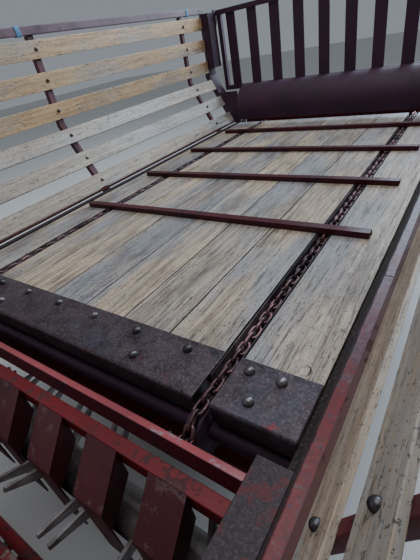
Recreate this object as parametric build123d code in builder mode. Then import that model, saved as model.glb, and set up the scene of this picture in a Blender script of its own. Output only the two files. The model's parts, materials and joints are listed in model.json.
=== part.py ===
"""Self-loading hay wagon: slatted load bed with a scraper floor, pick-up and feeder in front.

Millimetres, +Z up, ground at z = 0, +Y towards the tailgate, +X the wagon's left side seen from behind.
The origin lies on the ground under the middle of the whole wagon.
"""
import os
from math import atan2, cos, degrees, hypot, pi, radians, sin

from build123d import *

os.makedirs("parts", exist_ok=True)

# Load bed
floor_z = 1000.0
plank_pitch = 198.0
plank_t = 40.0
plank_gap = 4.0
plank_end_gap = 14.0
planks_between_chains = 6
outer_plank_w = 210.5
plank_to_rail = 17.5
trough_w = 50.0
trough_depth = 32.0
trough_wall = 3.0
bed_front_y = -380.0
bed_links = 82
plate_t = 6.0
plate_w = 165.0
plate_drop = 55.0

# Scraper floor: two round-link chains that pull slats
link_pitch = 35.0
link_wire = 10.0
link_rise = 13.0
chain_half = 14.0
chain_drop = 15.0
chain_turn_r = 78.0
slat_count = 11
slat_links = 15
first_slat_run = 890.0
slat_w = 38.0
slat_h = 25.0
slat_t = 4.0
slat_half = 790.0
lug_t = 4.0
lug_drop = 20.0
shaft_r = 22.0
shaft_sides = 16
shaft_past_rail = 14.0
flange_in = 11.0
flange_out = 20.0

# Bed frame and chassis
rail_w = 36.0
rail_h = 120.0
rail_t = 6.0
rail_bore_r = shaft_r + 2.0
cross_count = 6
cross_h = 60.0
cross_w = 60.0
cross_front_in = 140.0
cross_rear_in = 180.0
front_wall_y = -1115.0
front_beam_d = 80.0
front_beam_h = 160.0
rear_beam_d = 50.0
rear_beam_z = (875.0, 995.0)
slat_beam_gap = 14.0
chassis_x = 430.0
chassis_w = 60.0
chassis_h = 140.0
chassis_t = 8.0
slat_clear = 26.0
outrigger_h = 80.0
outrigger_in = 38.0
chassis_front_y = -370.0
chassis_rear_in = 190.0

# Side walls, as a section: a leaning lower part and an upright upper part
wall_foot = 920.0
wall_knee_x = 1143.0
wall_knee_z = 1420.0
wall_top_z = 1941.0
board_t = 15.0
board_w = 93.0
upright_t = 30.0
top_rail_w = 28.0
top_rail_h = 44.0
top_rail_past_post = 52.0
last_upright_in = 278.0
upright_foot_up = 5.0
upright_bend_down = 45.0
lean_starts = (24.0, 187.0, 350.0)
upright_starts = (1451.0, 1620.0, 1782.0)

# Tailgate and rear posts
post_setback = 7.0
post_d = 118.0
post_inner_x = 1071.0
post_low_z = 1483.0
post_lap = 40.0
rear_cheek_t = 6.0
rear_cheek_gap = 12.0
gate_gap = 11.0
gate_hinge_z = 1889.0
gate_half = 1060.0
gate_tube = 36.0
gate_low_z = 1272.0
gate_bars = 10
gate_bar_pitch = 207.0
gate_bar_w = 88.0
gate_bar_t = 8.0
sheet_half = 855.0
sheet_low_z = 1034.0
sheet_r = 190.0
sheet_t = 3.0

# Running gear
axle_y = 1265.0
wheel_r = 370.0
track_half = 750.0
rim_r = 200.0
wheel_sides = 28
axle_box = 90.0
stub_r = 35.0
fit_gap = 0.3

# Drawbar, tow eye and jack
eye_bore_r = 20.0
eye_r = 55.0
eye_t = 30.0
eye_neck_w = 56.0
eye_z = 560.0
eye_reach = 230.0
arm_w = 60.0
arm_h = 100.0
arm_root_x = 560.0
arm_nose_x = 45.0
arm_nose_y = -2417.0
nose_d = 110.0
jack_y = -2200.0
jack_r = 32.0
jack_leg_r = 25.0
jack_foot_r = 75.0
jack_foot_t = 12.0
jack_travel = 350.0
jack_top_z = 830.0
jack_gap = 22.0
jack_cap_t = 15.0

# Feed channel, strippers and feeder
cheek_x = 800.0
cheek_t = 6.0
cheek_rear_y = -430.0
rotor_y = -575.0
rotor_z = 655.0
rotor_tip_r = 190.0
rotor_drum_r = 60.0
rotor_half = 794.0
rotor_shaft_r = 25.0
fork_gap = 40.0
fork_t = 10.0
stripper_count = 7
stripper_pitch = 212.0
stripper_w = 108.0
stripper_t = 5.0
stripper_knee = (-646.0, 811.0)
stripper_low_z = 520.0
beam_y = (-545.0, -508.0)
beam_z = (880.0, 930.0)

# Pick-up, pivoted on the cheeks
pivot_y = -640.0
pivot_z = 560.0
pivot_r = 16.0
lower_angle = 21.5
reel_low = (-983.0, 285.0)
reel_tip_r = 235.0
reel_shaft_r = 20.0
band_count = 17
band_r = 185.0
band_pitch = 90.0
band_w = 50.0
band_t = 4.0
gauge_low = (-960.0, 155.0)
gauge_r = 150.0
gauge_w = 80.0
gauge_pin_r = 12.0
side_plate_x = 812.0
side_plate_t = 8.0

# Drive
gearbox_y = -1160.0
gearbox_z = 800.0
gearbox_half = 90.0
pto_r = 17.4
pto_length = 80.0

# Places that follow from the sizes above
bed_length = bed_links * link_pitch
bed_rear_y = bed_front_y + bed_length
chain_x = planks_between_chains / 2 * plank_pitch + plank_gap + trough_w / 2
outer_plank_x = chain_x + trough_w / 2 + plank_gap
rail_x = outer_plank_x + outer_plank_w + plank_to_rail
rail_out = rail_x + rail_w
plank_front_y = bed_front_y + plate_t
plank_rear_y = bed_rear_y - plank_end_gap
chain_z = floor_z - chain_drop
shaft_z = chain_z - chain_turn_r
return_z = shaft_z - chain_turn_r
trough_setback = chain_turn_r + plank_gap
frame_z = floor_z - plank_t
post_y = bed_rear_y - post_setback
gate_y = post_y + post_d + gate_gap + gate_tube / 2
rear_beam_y = bed_rear_y + chain_turn_r + chain_drop + slat_h + slat_beam_gap
rail_rear_y = rear_beam_y + rear_beam_d
chassis_top = return_z - chain_drop - slat_h - slat_clear
chassis_low = chassis_top - chassis_h
chassis_rear_y = bed_rear_y - chassis_rear_in
eye_y = arm_nose_y - eye_reach
sheet_y = gate_y - gate_tube / 2 - sheet_r
lean = atan2(wall_knee_x - wall_foot, wall_knee_z - floor_z)
upright_rows = [  # station, width
    (-520.0, 30.0),
    (765.0, 44.0),
    (post_y - last_upright_in, 34.0),
]
outrigger_rows = [  # station, width
    (chassis_front_y + outrigger_in, 80.0),
    (600.0, 60.0),
    (chassis_rear_y - outrigger_in, 60.0),
]


def section(y):
    """Plane across the wagon at station y: local x is X, local y is Z."""
    return Plane(origin=(0, y, 0), x_dir=(1, 0, 0), z_dir=(0, -1, 0))


def profile(x):
    """Plane along the wagon at offset x: local x is Y, local y is Z."""
    return Plane(origin=(x, 0, 0), x_dir=(0, 1, 0), z_dir=(1, 0, 0))


def bar(x, y, z, mode=Mode.ADD):
    """Straight bar that fills three ranges."""
    with Locations(((x[0] + x[1]) / 2, (y[0] + y[1]) / 2, (z[0] + z[1]) / 2)):
        Box(x[1] - x[0], y[1] - y[0], z[1] - z[0], mode=mode)


def strut(start, end, width, depth):
    """Straight box tube between two points, its width lying level."""
    run = Vector(*end) - Vector(*start)
    level = Vector(-run.Y, run.X, 0) if hypot(run.X, run.Y) > 0 else Vector(1, 0, 0)
    with BuildSketch(Plane(origin=start, x_dir=level, z_dir=run)) as tube:
        Rectangle(width, depth)
    extrude(tube.sketch, amount=run.length)


def rod(start, end, radius, mode=Mode.ADD):
    """Round bar between two points."""
    run = Vector(*end) - Vector(*start)
    with BuildSketch(Plane(origin=start, z_dir=run)) as circle:
        Circle(radius)
    extrude(circle.sketch, amount=run.length, mode=mode)


def around(radius, sides):
    """Corner radius of a flat-sided bore that leaves the usual fit round a shaft."""
    return (radius + fit_gap) / cos(pi / sides)


def polar(centre, radius, angle):
    """Point (y, z) at an angle in degrees on a circle."""
    return centre[0] + radius * cos(radians(angle)), centre[1] + radius * sin(radians(angle))


def arc_points(centre, radius, start, end, count):
    """Evenly spaced points (y, z) on an arc, angles in degrees."""
    return [polar(centre, radius, start + (end - start) * step / (count - 1)) for step in range(count)]


def turned(x, y, z, stations, sides, mode=Mode.ADD):
    """Flat-sided turned piece on a cross axis through (y, z); stations are (offset from x, radius)."""
    rings = []
    for offset, radius in stations:
        corners = arc_points((y, z), radius, 0, 360 - 360 / sides, sides)
        rings.append([(x + offset, corner_y, corner_z) for corner_y, corner_z in corners])
    faces = [Face(Wire.make_polygon(rings[0])), Face(Wire.make_polygon(rings[-1]))]
    for ring, following in zip(rings, rings[1:]):
        for corner in range(sides):
            quad = (ring[corner], ring[corner - 1], following[corner - 1], following[corner])
            faces.append(Face(Wire.make_polygon(quad)))
    add(Solid(Shell(faces)), mode=mode)


def chain_place(run, out):
    """Place (y, z) and heading in degrees at a run along the chain loop, `out` beyond its pitch line.

    The run starts on top of the front shaft and goes to the rear first.
    """
    half_turn = pi * chain_turn_r
    run = run % (2 * bed_length + 2 * half_turn)
    if run < bed_length:
        return bed_front_y + run, chain_z + out, 0.0
    if run < bed_length + half_turn:
        turn = 90 - degrees((run - bed_length) / chain_turn_r)
        return *polar((bed_rear_y, shaft_z), chain_turn_r + out, turn), turn - 90
    if run < 2 * bed_length + half_turn:
        return bed_rear_y - (run - bed_length - half_turn), return_z - out, -180.0
    turn = -90 - degrees((run - 2 * bed_length - half_turn) / chain_turn_r)
    return *polar((bed_front_y, shaft_z), chain_turn_r + out, turn), turn - 90


def wall_x(z, out):
    """X of a face that lies `out` behind the wall's inner face at height z."""
    leaning = wall_foot + out / cos(lean) + (z - floor_z) * sin(lean) / cos(lean)
    return min(leaning, wall_knee_x + out)


def knee_z(out):
    """Height where a face `out` behind the inner face turns upright."""
    return floor_z + (wall_knee_x + out - wall_foot - out / cos(lean)) * cos(lean) / sin(lean)


def lowered_to_rest(point):
    """Turn a (y, z) point of the lowered pick-up back up to its parked place."""
    dy = point[0] - pivot_y
    dz = point[1] - pivot_z
    turn = radians(lower_angle)
    return (pivot_y + dy * cos(turn) + dz * sin(turn), pivot_z - dy * sin(turn) + dz * cos(turn))


reel_y, reel_z = lowered_to_rest(reel_low)
gauge_y, gauge_z = lowered_to_rest(gauge_low)

# Bed frame: two side channels, open inwards, with the bores of the two chain shafts
with BuildPart() as side_channels:
    with BuildSketch(section(front_wall_y)):
        with Locations((rail_x + rail_w / 2, floor_z - rail_h / 2)):
            Rectangle(rail_w, rail_h)
        with Locations((rail_x + (rail_w - rail_t) / 2, floor_z - rail_h / 2)):
            Rectangle(rail_w - rail_t, rail_h - 2 * rail_t, mode=Mode.SUBTRACT)
    extrude(amount=-(rail_rear_y - front_wall_y))
    for shaft_y in (bed_front_y, bed_rear_y):
        turned(rail_x, shaft_y, shaft_z, [(0, rail_bore_r), (rail_w, rail_bore_r)], shaft_sides,
               mode=Mode.SUBTRACT)
    mirror(about=Plane.YZ)
side_channels.part.label = "side_channels"
export_step(side_channels.part, "parts/side_channels.step")

# Cross members under the planks, the front beam and the rear beam
cross_first_y = bed_front_y + cross_front_in
cross_pitch = (bed_length - cross_front_in - cross_rear_in) / (cross_count - 1)
with BuildPart() as cross_members:
    for number in range(cross_count):
        cross_y = cross_first_y + number * cross_pitch
        bar((-rail_out + rail_t, rail_out - rail_t), (cross_y - cross_w / 2, cross_y + cross_w / 2),
            (frame_z - cross_h, frame_z))
    bar((-rail_x, rail_x), (front_wall_y, front_wall_y + front_beam_d), (floor_z - front_beam_h, floor_z))
    bar((-rail_x, rail_x), (rear_beam_y, rail_rear_y), rear_beam_z)
cross_members.part.label = "cross_members"
export_step(cross_members.part, "parts/cross_members.step")

# Chassis: two lower channels, cross tubes between and beside them, and posts up to the side channels
with BuildPart() as chassis_beams:
    with BuildSketch(section(chassis_front_y)):
        with Locations((chassis_x, chassis_low + chassis_h / 2)):
            Rectangle(chassis_w, chassis_h)
        with Locations((chassis_x - chassis_t / 2, chassis_low + chassis_h / 2)):
            Rectangle(chassis_w - chassis_t, chassis_h - 2 * chassis_t, mode=Mode.SUBTRACT)
    extrude(amount=-(chassis_rear_y - chassis_front_y))
    mirror(about=Plane.YZ)
chassis_beams.part.label = "chassis_beams"
export_step(chassis_beams.part, "parts/chassis_beams.step")

chassis_in = chassis_x - chassis_w / 2
chassis_out = chassis_x + chassis_w / 2
with BuildPart() as outrigger_tubes:
    for tube_y, tube_w in outrigger_rows:
        along = (tube_y - tube_w / 2, tube_y + tube_w / 2)
        for left, right in ((-rail_out, -chassis_out), (-chassis_in, chassis_in), (chassis_out, rail_out)):
            bar((left, right), along, (chassis_top - outrigger_h, chassis_top))
outrigger_tubes.part.label = "outrigger_tubes"
export_step(outrigger_tubes.part, "parts/outrigger_tubes.step")

with BuildPart() as outrigger_posts:
    for tube_y, tube_w in outrigger_rows:
        along = (tube_y - tube_w / 2, tube_y + tube_w / 2)
        bar((rail_x, rail_out), along, (chassis_top, floor_z - rail_h))
    mirror(about=Plane.YZ)
outrigger_posts.part.label = "outrigger_posts"
export_step(outrigger_posts.part, "parts/outrigger_posts.step")

# Floor planks: six between the chains and one wide plank beyond each
with BuildPart() as floor_planks:
    for plank in range(planks_between_chains):
        middle = (plank - (planks_between_chains - 1) / 2) * plank_pitch
        half = (plank_pitch - plank_gap) / 2
        bar((middle - half, middle + half), (plank_front_y, plank_rear_y), (frame_z, floor_z))
    for side in (-1, 1):
        outer = sorted((side * outer_plank_x, side * (outer_plank_x + outer_plank_w)))
        bar(outer, (plank_front_y, plank_rear_y), (frame_z, floor_z))
floor_planks.part.label = "floor_planks"
export_step(floor_planks.part, "parts/floor_planks.step")

# Chain troughs: folded steel channels between the planks
with BuildPart() as chain_troughs:
    for side in (-1, 1):
        with BuildSketch(section(bed_front_y + trough_setback)):
            with Locations((side * chain_x, frame_z + plank_t / 2)):
                Rectangle(trough_w, plank_t)
            with Locations((side * chain_x, floor_z - trough_depth / 2)):
                Rectangle(trough_w - 2 * trough_wall, trough_depth, mode=Mode.SUBTRACT)
        extrude(amount=-(bed_length - 2 * trough_setback))
chain_troughs.part.label = "chain_troughs"
export_step(chain_troughs.part, "parts/chain_troughs.step")

# Front plate in three pieces, folded down over the plank ends
plate_edge = outer_plank_x + outer_plank_w
plate_spans = (
    (-plate_edge, -chain_x - trough_w / 2),
    (-chain_x + trough_w / 2, chain_x - trough_w / 2),
    (chain_x + trough_w / 2, plate_edge),
)
with BuildPart() as floor_front_plate:
    for left, right in plate_spans:
        with BuildSketch(profile(left)):
            with BuildLine():
                FilletPolyline((bed_front_y, floor_z - plate_drop), (bed_front_y, floor_z + plate_t),
                               (bed_front_y + plate_w, floor_z + plate_t), radius=10)
                Polyline((bed_front_y + plate_w, floor_z + plate_t), (bed_front_y + plate_w, floor_z),
                         (bed_front_y + plate_t, floor_z), (bed_front_y + plate_t, floor_z - plate_drop),
                         (bed_front_y, floor_z - plate_drop))
            make_face()
        extrude(amount=right - left)
floor_front_plate.part.label = "floor_front_plate"
export_step(floor_front_plate.part, "parts/floor_front_plate.step")

# Scraper chains: one endless loop on each side, its upright links as teeth on the top stretch and the turns
half_turn = pi * chain_turn_r
tooth_pitch = 2 * link_pitch
tooth_count = int((bed_length + 2 * half_turn) / tooth_pitch)
tooth = [  # along the tooth's pitch, out of the pitch line
    (0.25 * tooth_pitch, link_wire / 2),
    (0.34 * tooth_pitch, link_rise),
    (0.66 * tooth_pitch, link_rise),
    (0.75 * tooth_pitch, link_wire / 2),
]
chain_outline = [chain_place(-half_turn, link_wire / 2)[:2]]
for number in range(tooth_count):
    for along, out in tooth:
        chain_outline.append(chain_place(number * tooth_pitch + along - half_turn, out)[:2])
chain_outline.append(chain_place(bed_length + half_turn, link_wire / 2)[:2])
chain_in_r = (chain_turn_r - link_wire / 2) / cos(pi / 24)
with BuildPart() as scraper_chains:
    for side in (-1, 1):
        with BuildSketch(profile(side * chain_x - chain_half)):
            Polygon(*chain_outline, align=None)
            Polygon(*arc_points((bed_front_y, shaft_z), chain_in_r, 90, 270, 13),
                    *arc_points((bed_rear_y, shaft_z), chain_in_r, -90, 90, 13), align=None, mode=Mode.SUBTRACT)
        extrude(amount=2 * chain_half)
scraper_chains.part.label = "scraper_chains"
export_step(scraper_chains.part, "parts/scraper_chains.step")

# Scraper slats: channels open downwards, each held to both chains by two lug cheeks
with BuildPart() as scraper_slats:
    for number in range(slat_count):
        slat_run = first_slat_run + number * slat_links * link_pitch
        seat_y, seat_z, turn = chain_place(slat_run, chain_drop + fit_gap)
        along = (0, cos(radians(turn)), sin(radians(turn)))
        with BuildSketch(Plane(origin=(-slat_half, seat_y, seat_z), x_dir=along, z_dir=(1, 0, 0))):
            with Locations((0, slat_h / 2)):
                Rectangle(slat_w, slat_h)
            with Locations((0, (slat_h - slat_t) / 2)):
                Rectangle(slat_w - 2 * slat_t, slat_h - slat_t, mode=Mode.SUBTRACT)
        extrude(amount=2 * slat_half)
        for side in (-1, 1):
            for lug_x in (-chain_half - fit_gap - lug_t, chain_half + fit_gap):
                lug_place = (side * chain_x + lug_x, seat_y, seat_z)
                with BuildSketch(Plane(origin=lug_place, x_dir=along, z_dir=(1, 0, 0))):
                    with Locations((0, (slat_h - slat_t - lug_drop) / 2)):
                        Rectangle(slat_w - 2 * slat_t, slat_h - slat_t + lug_drop)
                extrude(amount=lug_t)
scraper_slats.part.label = "scraper_slats"
export_step(scraper_slats.part, "parts/scraper_slats.step")

# Shafts that the chains turn on, one at each end of the floor
groove_depth = 20.0
groove_r = chain_turn_r - groove_depth
flange_r = chain_turn_r - link_wire / 2 - fit_gap
for shaft_name, shaft_y in (("front_idlers", bed_front_y), ("rear_drive_shaft", bed_rear_y)):
    with BuildPart() as chain_shaft:
        shaft_end = rail_out + shaft_past_rail
        turned(0, shaft_y, shaft_z, [(-shaft_end, shaft_r), (shaft_end, shaft_r)], shaft_sides)
        for side in (-1, 1):
            for left, right, radius in (
                (-flange_out, -flange_in, flange_r),
                (-flange_in, flange_in, groove_r),
                (flange_in, flange_out, flange_r),
            ):
                turned(side * chain_x, shaft_y, shaft_z, [(left, radius), (right, radius)], shaft_sides)
    chain_shaft.part.label = shaft_name
    export_step(chain_shaft.part, f"parts/{shaft_name}.step")

# Bearing plates inside the side channels
bearing_half = 36.0
bearing_t = 12.0
with BuildPart() as shaft_bearings:
    for shaft_y in (bed_front_y, bed_rear_y):
        with BuildSketch(profile(rail_x - bearing_t)):
            with Locations((shaft_y, shaft_z)):
                Rectangle(2 * bearing_half, 2 * bearing_half)
                RegularPolygon(shaft_r + fit_gap, shaft_sides, mode=Mode.SUBTRACT)
        extrude(amount=bearing_t)
    mirror(about=Plane.YZ)
shaft_bearings.part.label = "shaft_bearings"
export_step(shaft_bearings.part, "parts/shaft_bearings.step")

# Side walls: steel uprights that follow the wall's section, boards in front of them, a steel rail on top
under_rail_z = wall_top_z - top_rail_h
upright_out = board_t + upright_t
upright_section = [
    (rail_out, floor_z - rail_h + upright_foot_up),
    (rail_out, floor_z),
    (wall_x(floor_z, board_t), floor_z),
    (wall_knee_x + board_t, knee_z(board_t)),
    (wall_knee_x + board_t, under_rail_z),
    (wall_knee_x + upright_out, under_rail_z),
    (wall_knee_x + upright_out, knee_z(upright_out)),
    (rail_out + upright_t, floor_z - upright_bend_down),
    (rail_out + upright_t, floor_z - rail_h + upright_foot_up),
]
board_sections = []
for start in lean_starts:
    foot = Vector(wall_foot + start * sin(lean), floor_z + start * cos(lean))
    along = Vector(sin(lean), cos(lean)) * board_w
    behind = Vector(cos(lean), -sin(lean)) * board_t
    corners = (foot, foot + along, foot + along + behind, foot + behind)
    board_sections.append([(corner.X, corner.Y) for corner in corners])
for start in upright_starts:
    board_sections.append([
        (wall_knee_x, start),
        (wall_knee_x, start + board_w),
        (wall_knee_x + board_t, start + board_w),
        (wall_knee_x + board_t, start),
    ])
front_post_d = 40.0
wall_front_y = front_wall_y + front_post_d
for side, side_name in ((-1, "right"), (1, "left")):
    with BuildPart() as side_frame:
        for station, width in upright_rows:
            with BuildSketch(section(station - width / 2)):
                Polygon(*[(side * x, z) for x, z in upright_section], align=None)
            extrude(amount=-width)
    side_frame.part.label = f"side_frame_{side_name}"
    export_step(side_frame.part, f"parts/side_frame_{side_name}.step")

    with BuildPart() as side_boards:
        with BuildSketch(section(wall_front_y)):
            for board in board_sections:
                Polygon(*[(side * x, z) for x, z in board], align=None)
        extrude(amount=-(post_y - wall_front_y))
    side_boards.part.label = f"side_boards_{side_name}"
    export_step(side_boards.part, f"parts/side_boards_{side_name}.step")

    with BuildPart() as top_rail:
        with BuildSketch(section(wall_front_y)):
            with Locations((side * (wall_knee_x + top_rail_w / 2), wall_top_z - top_rail_h / 2)):
                Rectangle(top_rail_w, top_rail_h)
        extrude(amount=-(post_y + top_rail_past_post - wall_front_y))
    top_rail.part.label = f"top_rail_{side_name}"
    export_step(top_rail.part, f"parts/top_rail_{side_name}.step")

# Front wall: corner posts on the wall's section, rails and upright flat bars
front_bar_pitch = 230.0
front_bars = 8
front_bar_w = 60.0
front_bar_t = 8.0
front_rail_h = 40.0
front_low_rail_z = 1320.0
corner_in = 12.0
with BuildPart() as front_wall_frame:
    front_corner = [
        (rail_x, floor_z),
        (wall_knee_x - corner_in, knee_z(-corner_in)),
        (wall_knee_x - corner_in, wall_top_z),
        (wall_knee_x + board_t, wall_top_z),
        (wall_knee_x + board_t, knee_z(board_t)),
        (wall_x(floor_z, board_t), floor_z),
    ]
    with BuildSketch(section(front_wall_y)):
        Polygon(*front_corner, align=None)
    extrude(amount=-front_post_d)
    mirror(about=Plane.YZ)
    bar((-wall_knee_x, wall_knee_x), (front_wall_y, wall_front_y), (wall_top_z - front_rail_h, wall_top_z))
    low_rail_half = wall_x(front_low_rail_z, 0) - corner_in
    bar((-low_rail_half, low_rail_half), (front_wall_y, wall_front_y),
        (front_low_rail_z - front_rail_h / 2, front_low_rail_z + front_rail_h / 2))
    for number in range(front_bars):
        middle = (number - (front_bars - 1) / 2) * front_bar_pitch
        bar((middle - front_bar_w / 2, middle + front_bar_w / 2),
            (wall_front_y - front_post_d / 2 - front_bar_t, wall_front_y - front_post_d / 2),
            (floor_z, wall_top_z - front_rail_h / 2))
front_wall_frame.part.label = "front_wall_frame"
export_step(front_wall_frame.part, "parts/front_wall_frame.step")

# Rear posts: a leg on the wall's section, a broad upper post, the hinge lug and a cheek beside the sheet
hinge_pin_r = 12.0
lug_plate_t = 12.0
lug_nose = 25.0
lug_root = 110.0
lug_lap = 20.0
foot_t = 10.0
cheek_edge_x = sheet_half + rear_cheek_gap
post_rear_y = post_y + post_d
with BuildPart() as rear_posts:
    with BuildSketch(section(post_y)):
        Polygon((cheek_edge_x, floor_z), (wall_x(floor_z, board_t), floor_z),
                (wall_x(gate_low_z, board_t), gate_low_z), (cheek_edge_x, gate_low_z), align=None)
    extrude(amount=-rear_cheek_t)
    with BuildSketch(section(post_y)):
        Polygon((rail_x, floor_z), (rail_x, floor_z + foot_t), (wall_x(floor_z + foot_t, 0), floor_z + foot_t),
                (wall_knee_x, knee_z(0)), (wall_knee_x, post_low_z + post_lap),
                (wall_knee_x + upright_out, post_low_z + post_lap),
                (wall_knee_x + upright_out, knee_z(upright_out)),
                (wall_x(floor_z, upright_out), floor_z), align=None)
    extrude(amount=-post_d)
    bar((post_inner_x, wall_knee_x + board_t), (post_y, post_y + post_d), (post_low_z, under_rail_z))
    with BuildSketch(profile(post_inner_x)):
        Polygon((post_rear_y - lug_lap, gate_hinge_z - lug_root), (post_rear_y, gate_hinge_z - lug_root),
                *arc_points((gate_y, gate_hinge_z), lug_nose, -60, 90, 6),
                (post_rear_y - lug_lap, gate_hinge_z + lug_nose), align=None)
    extrude(amount=lug_plate_t)
    lug_bore = around(hinge_pin_r, 12)
    turned(post_inner_x, gate_y, gate_hinge_z, [(0, lug_bore), (lug_plate_t, lug_bore)], 12, mode=Mode.SUBTRACT)
    mirror(about=Plane.YZ)
rear_posts.part.label = "rear_posts"
export_step(rear_posts.part, "parts/rear_posts.step")

# Tailgate: frame of tubes with upright flat bars, hinged at its top tube
with BuildPart() as tailgate_frame:
    half_tube = gate_tube / 2
    gate_depth = (gate_y - half_tube, gate_y + half_tube)
    bar((-gate_half, gate_half), gate_depth, (gate_hinge_z - half_tube, gate_hinge_z + half_tube))
    bar((-gate_half, gate_half), gate_depth, (gate_low_z, gate_low_z + gate_tube))
    for side in (-1, 1):
        outer = sorted((side * gate_half, side * (gate_half - gate_tube)))
        bar(outer, gate_depth, (gate_low_z, gate_hinge_z))
        pin_end = side * (post_inner_x + lug_plate_t + 4)
        rod((side * gate_half, gate_y, gate_hinge_z), (pin_end, gate_y, gate_hinge_z), hinge_pin_r)
    for number in range(gate_bars):
        middle = (number - (gate_bars - 1) / 2) * gate_bar_pitch
        bar((middle - gate_bar_w / 2, middle + gate_bar_w / 2),
            (gate_y - gate_bar_t / 2, gate_y + gate_bar_t / 2), (gate_low_z + half_tube, gate_hinge_z))
tailgate_frame.part.label = "tailgate_frame"
export_step(tailgate_frame.part, "parts/tailgate_frame.step")

# Sheet under the bars: straight in front of the load, then a quarter round back to the frame
with BuildPart() as tailgate_sheet:
    with BuildSketch(profile(-sheet_half)):
        with BuildLine() as sheet_line:
            bend_z = gate_low_z + gate_tube - 2 - sheet_r
            Line((sheet_y, sheet_low_z), (sheet_y, bend_z))
            RadiusArc((sheet_y, bend_z), (sheet_y + sheet_r, bend_z + sheet_r), sheet_r)
            Line((sheet_y + sheet_r, bend_z + sheet_r), (sheet_y + sheet_r, bend_z + sheet_r - sheet_t))
            RadiusArc((sheet_y + sheet_r, bend_z + sheet_r - sheet_t), (sheet_y + sheet_t, bend_z),
                      -(sheet_r - sheet_t))
            Polyline((sheet_y + sheet_t, bend_z), (sheet_y + sheet_t, sheet_low_z), (sheet_y, sheet_low_z))
        make_face()
    extrude(amount=2 * sheet_half)
tailgate_sheet.part.label = "tailgate_sheet"
export_step(tailgate_sheet.part, "parts/tailgate_sheet.step")

# Axle beam with its stub axles, and the leaf springs that carry the chassis
hub_in = track_half - 110.0
hub_out = track_half + 40.0
collar_t = 25.0
collar_gap = 5.0
collar_r = 49.0
with BuildPart() as axle_beam:
    box_half = hub_in - collar_gap - collar_t
    bar((-box_half, box_half), (axle_y - axle_box / 2, axle_y + axle_box / 2),
        (wheel_r - axle_box / 2, wheel_r + axle_box / 2))
    for side in (-1, 1):
        turned(side * box_half, axle_y, wheel_r, [(0, collar_r), (side * collar_t, collar_r)], 16)
        rod((side * (box_half + collar_t), axle_y, wheel_r), (side * hub_out, axle_y, wheel_r), stub_r)
axle_beam.part.label = "axle_beam"
export_step(axle_beam.part, "parts/axle_beam.step")

spring_w = 50.0
leaf_t = 11.0
spring_half = 380.0
spring_rise = 62.0
leaf_halves = (380.0, 300.0, 215.0, 130.0)
spring_eye_r = 16.0
leaf_inner_r = (spring_half ** 2 + spring_rise ** 2) / (2 * spring_rise)
spring_pad_w = 70.0
spring_pad_z = wheel_r + axle_box / 2
spring_top_z = spring_pad_z + len(leaf_halves) * leaf_t
leaf_centre = (axle_y, spring_top_z + leaf_inner_r)
leaf_angles = sorted(-90 + sign * degrees(half / leaf_inner_r) for half in leaf_halves for sign in (-1, 1))
eye_dy = leaf_inner_r * sin(spring_half / leaf_inner_r)
spring_eye_z = leaf_centre[1] - leaf_inner_r * cos(spring_half / leaf_inner_r)
with BuildPart() as leaf_springs:
    for row, half in enumerate(leaf_halves):
        reach = degrees(half / leaf_inner_r) + 0.01
        angles = [angle for angle in leaf_angles if abs(angle + 90) < reach]
        over = [polar(leaf_centre, leaf_inner_r + row * leaf_t, angle) for angle in angles]
        under = [polar(leaf_centre, leaf_inner_r + (row + 1) * leaf_t, angle) for angle in angles]
        with BuildSketch(profile(chassis_x - spring_w / 2)):
            Polygon(*(over + under[::-1]), align=None)
        extrude(amount=spring_w)
    bar((chassis_x - spring_pad_w / 2, chassis_x + spring_pad_w / 2),
        (axle_y - axle_box / 2, axle_y + axle_box / 2), (spring_pad_z, spring_pad_z + leaf_t))
    for end in (-1, 1):
        turned(chassis_x, axle_y + end * eye_dy, spring_eye_z,
               [(-spring_w / 2, spring_eye_r), (spring_w / 2, spring_eye_r)], 12)
    mirror(about=Plane.YZ)
leaf_springs.part.label = "leaf_springs"
export_step(leaf_springs.part, "parts/leaf_springs.step")

hanger_t = 8.0
hanger_top = 45.0
hanger_nose = 22.0
with BuildPart() as spring_hangers:
    for end in (-1, 1):
        hanger_y = axle_y + end * eye_dy
        for face in (-spring_w / 2 - hanger_t, spring_w / 2):
            with BuildSketch(profile(chassis_x + face)):
                Polygon((hanger_y - hanger_top, chassis_low),
                        *arc_points((hanger_y, spring_eye_z), hanger_nose, 180, 360, 5),
                        (hanger_y + hanger_top, chassis_low), align=None)
            extrude(amount=hanger_t)
    mirror(about=Plane.YZ)
spring_hangers.part.label = "spring_hangers"
export_step(spring_hangers.part, "parts/spring_hangers.step")

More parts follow.
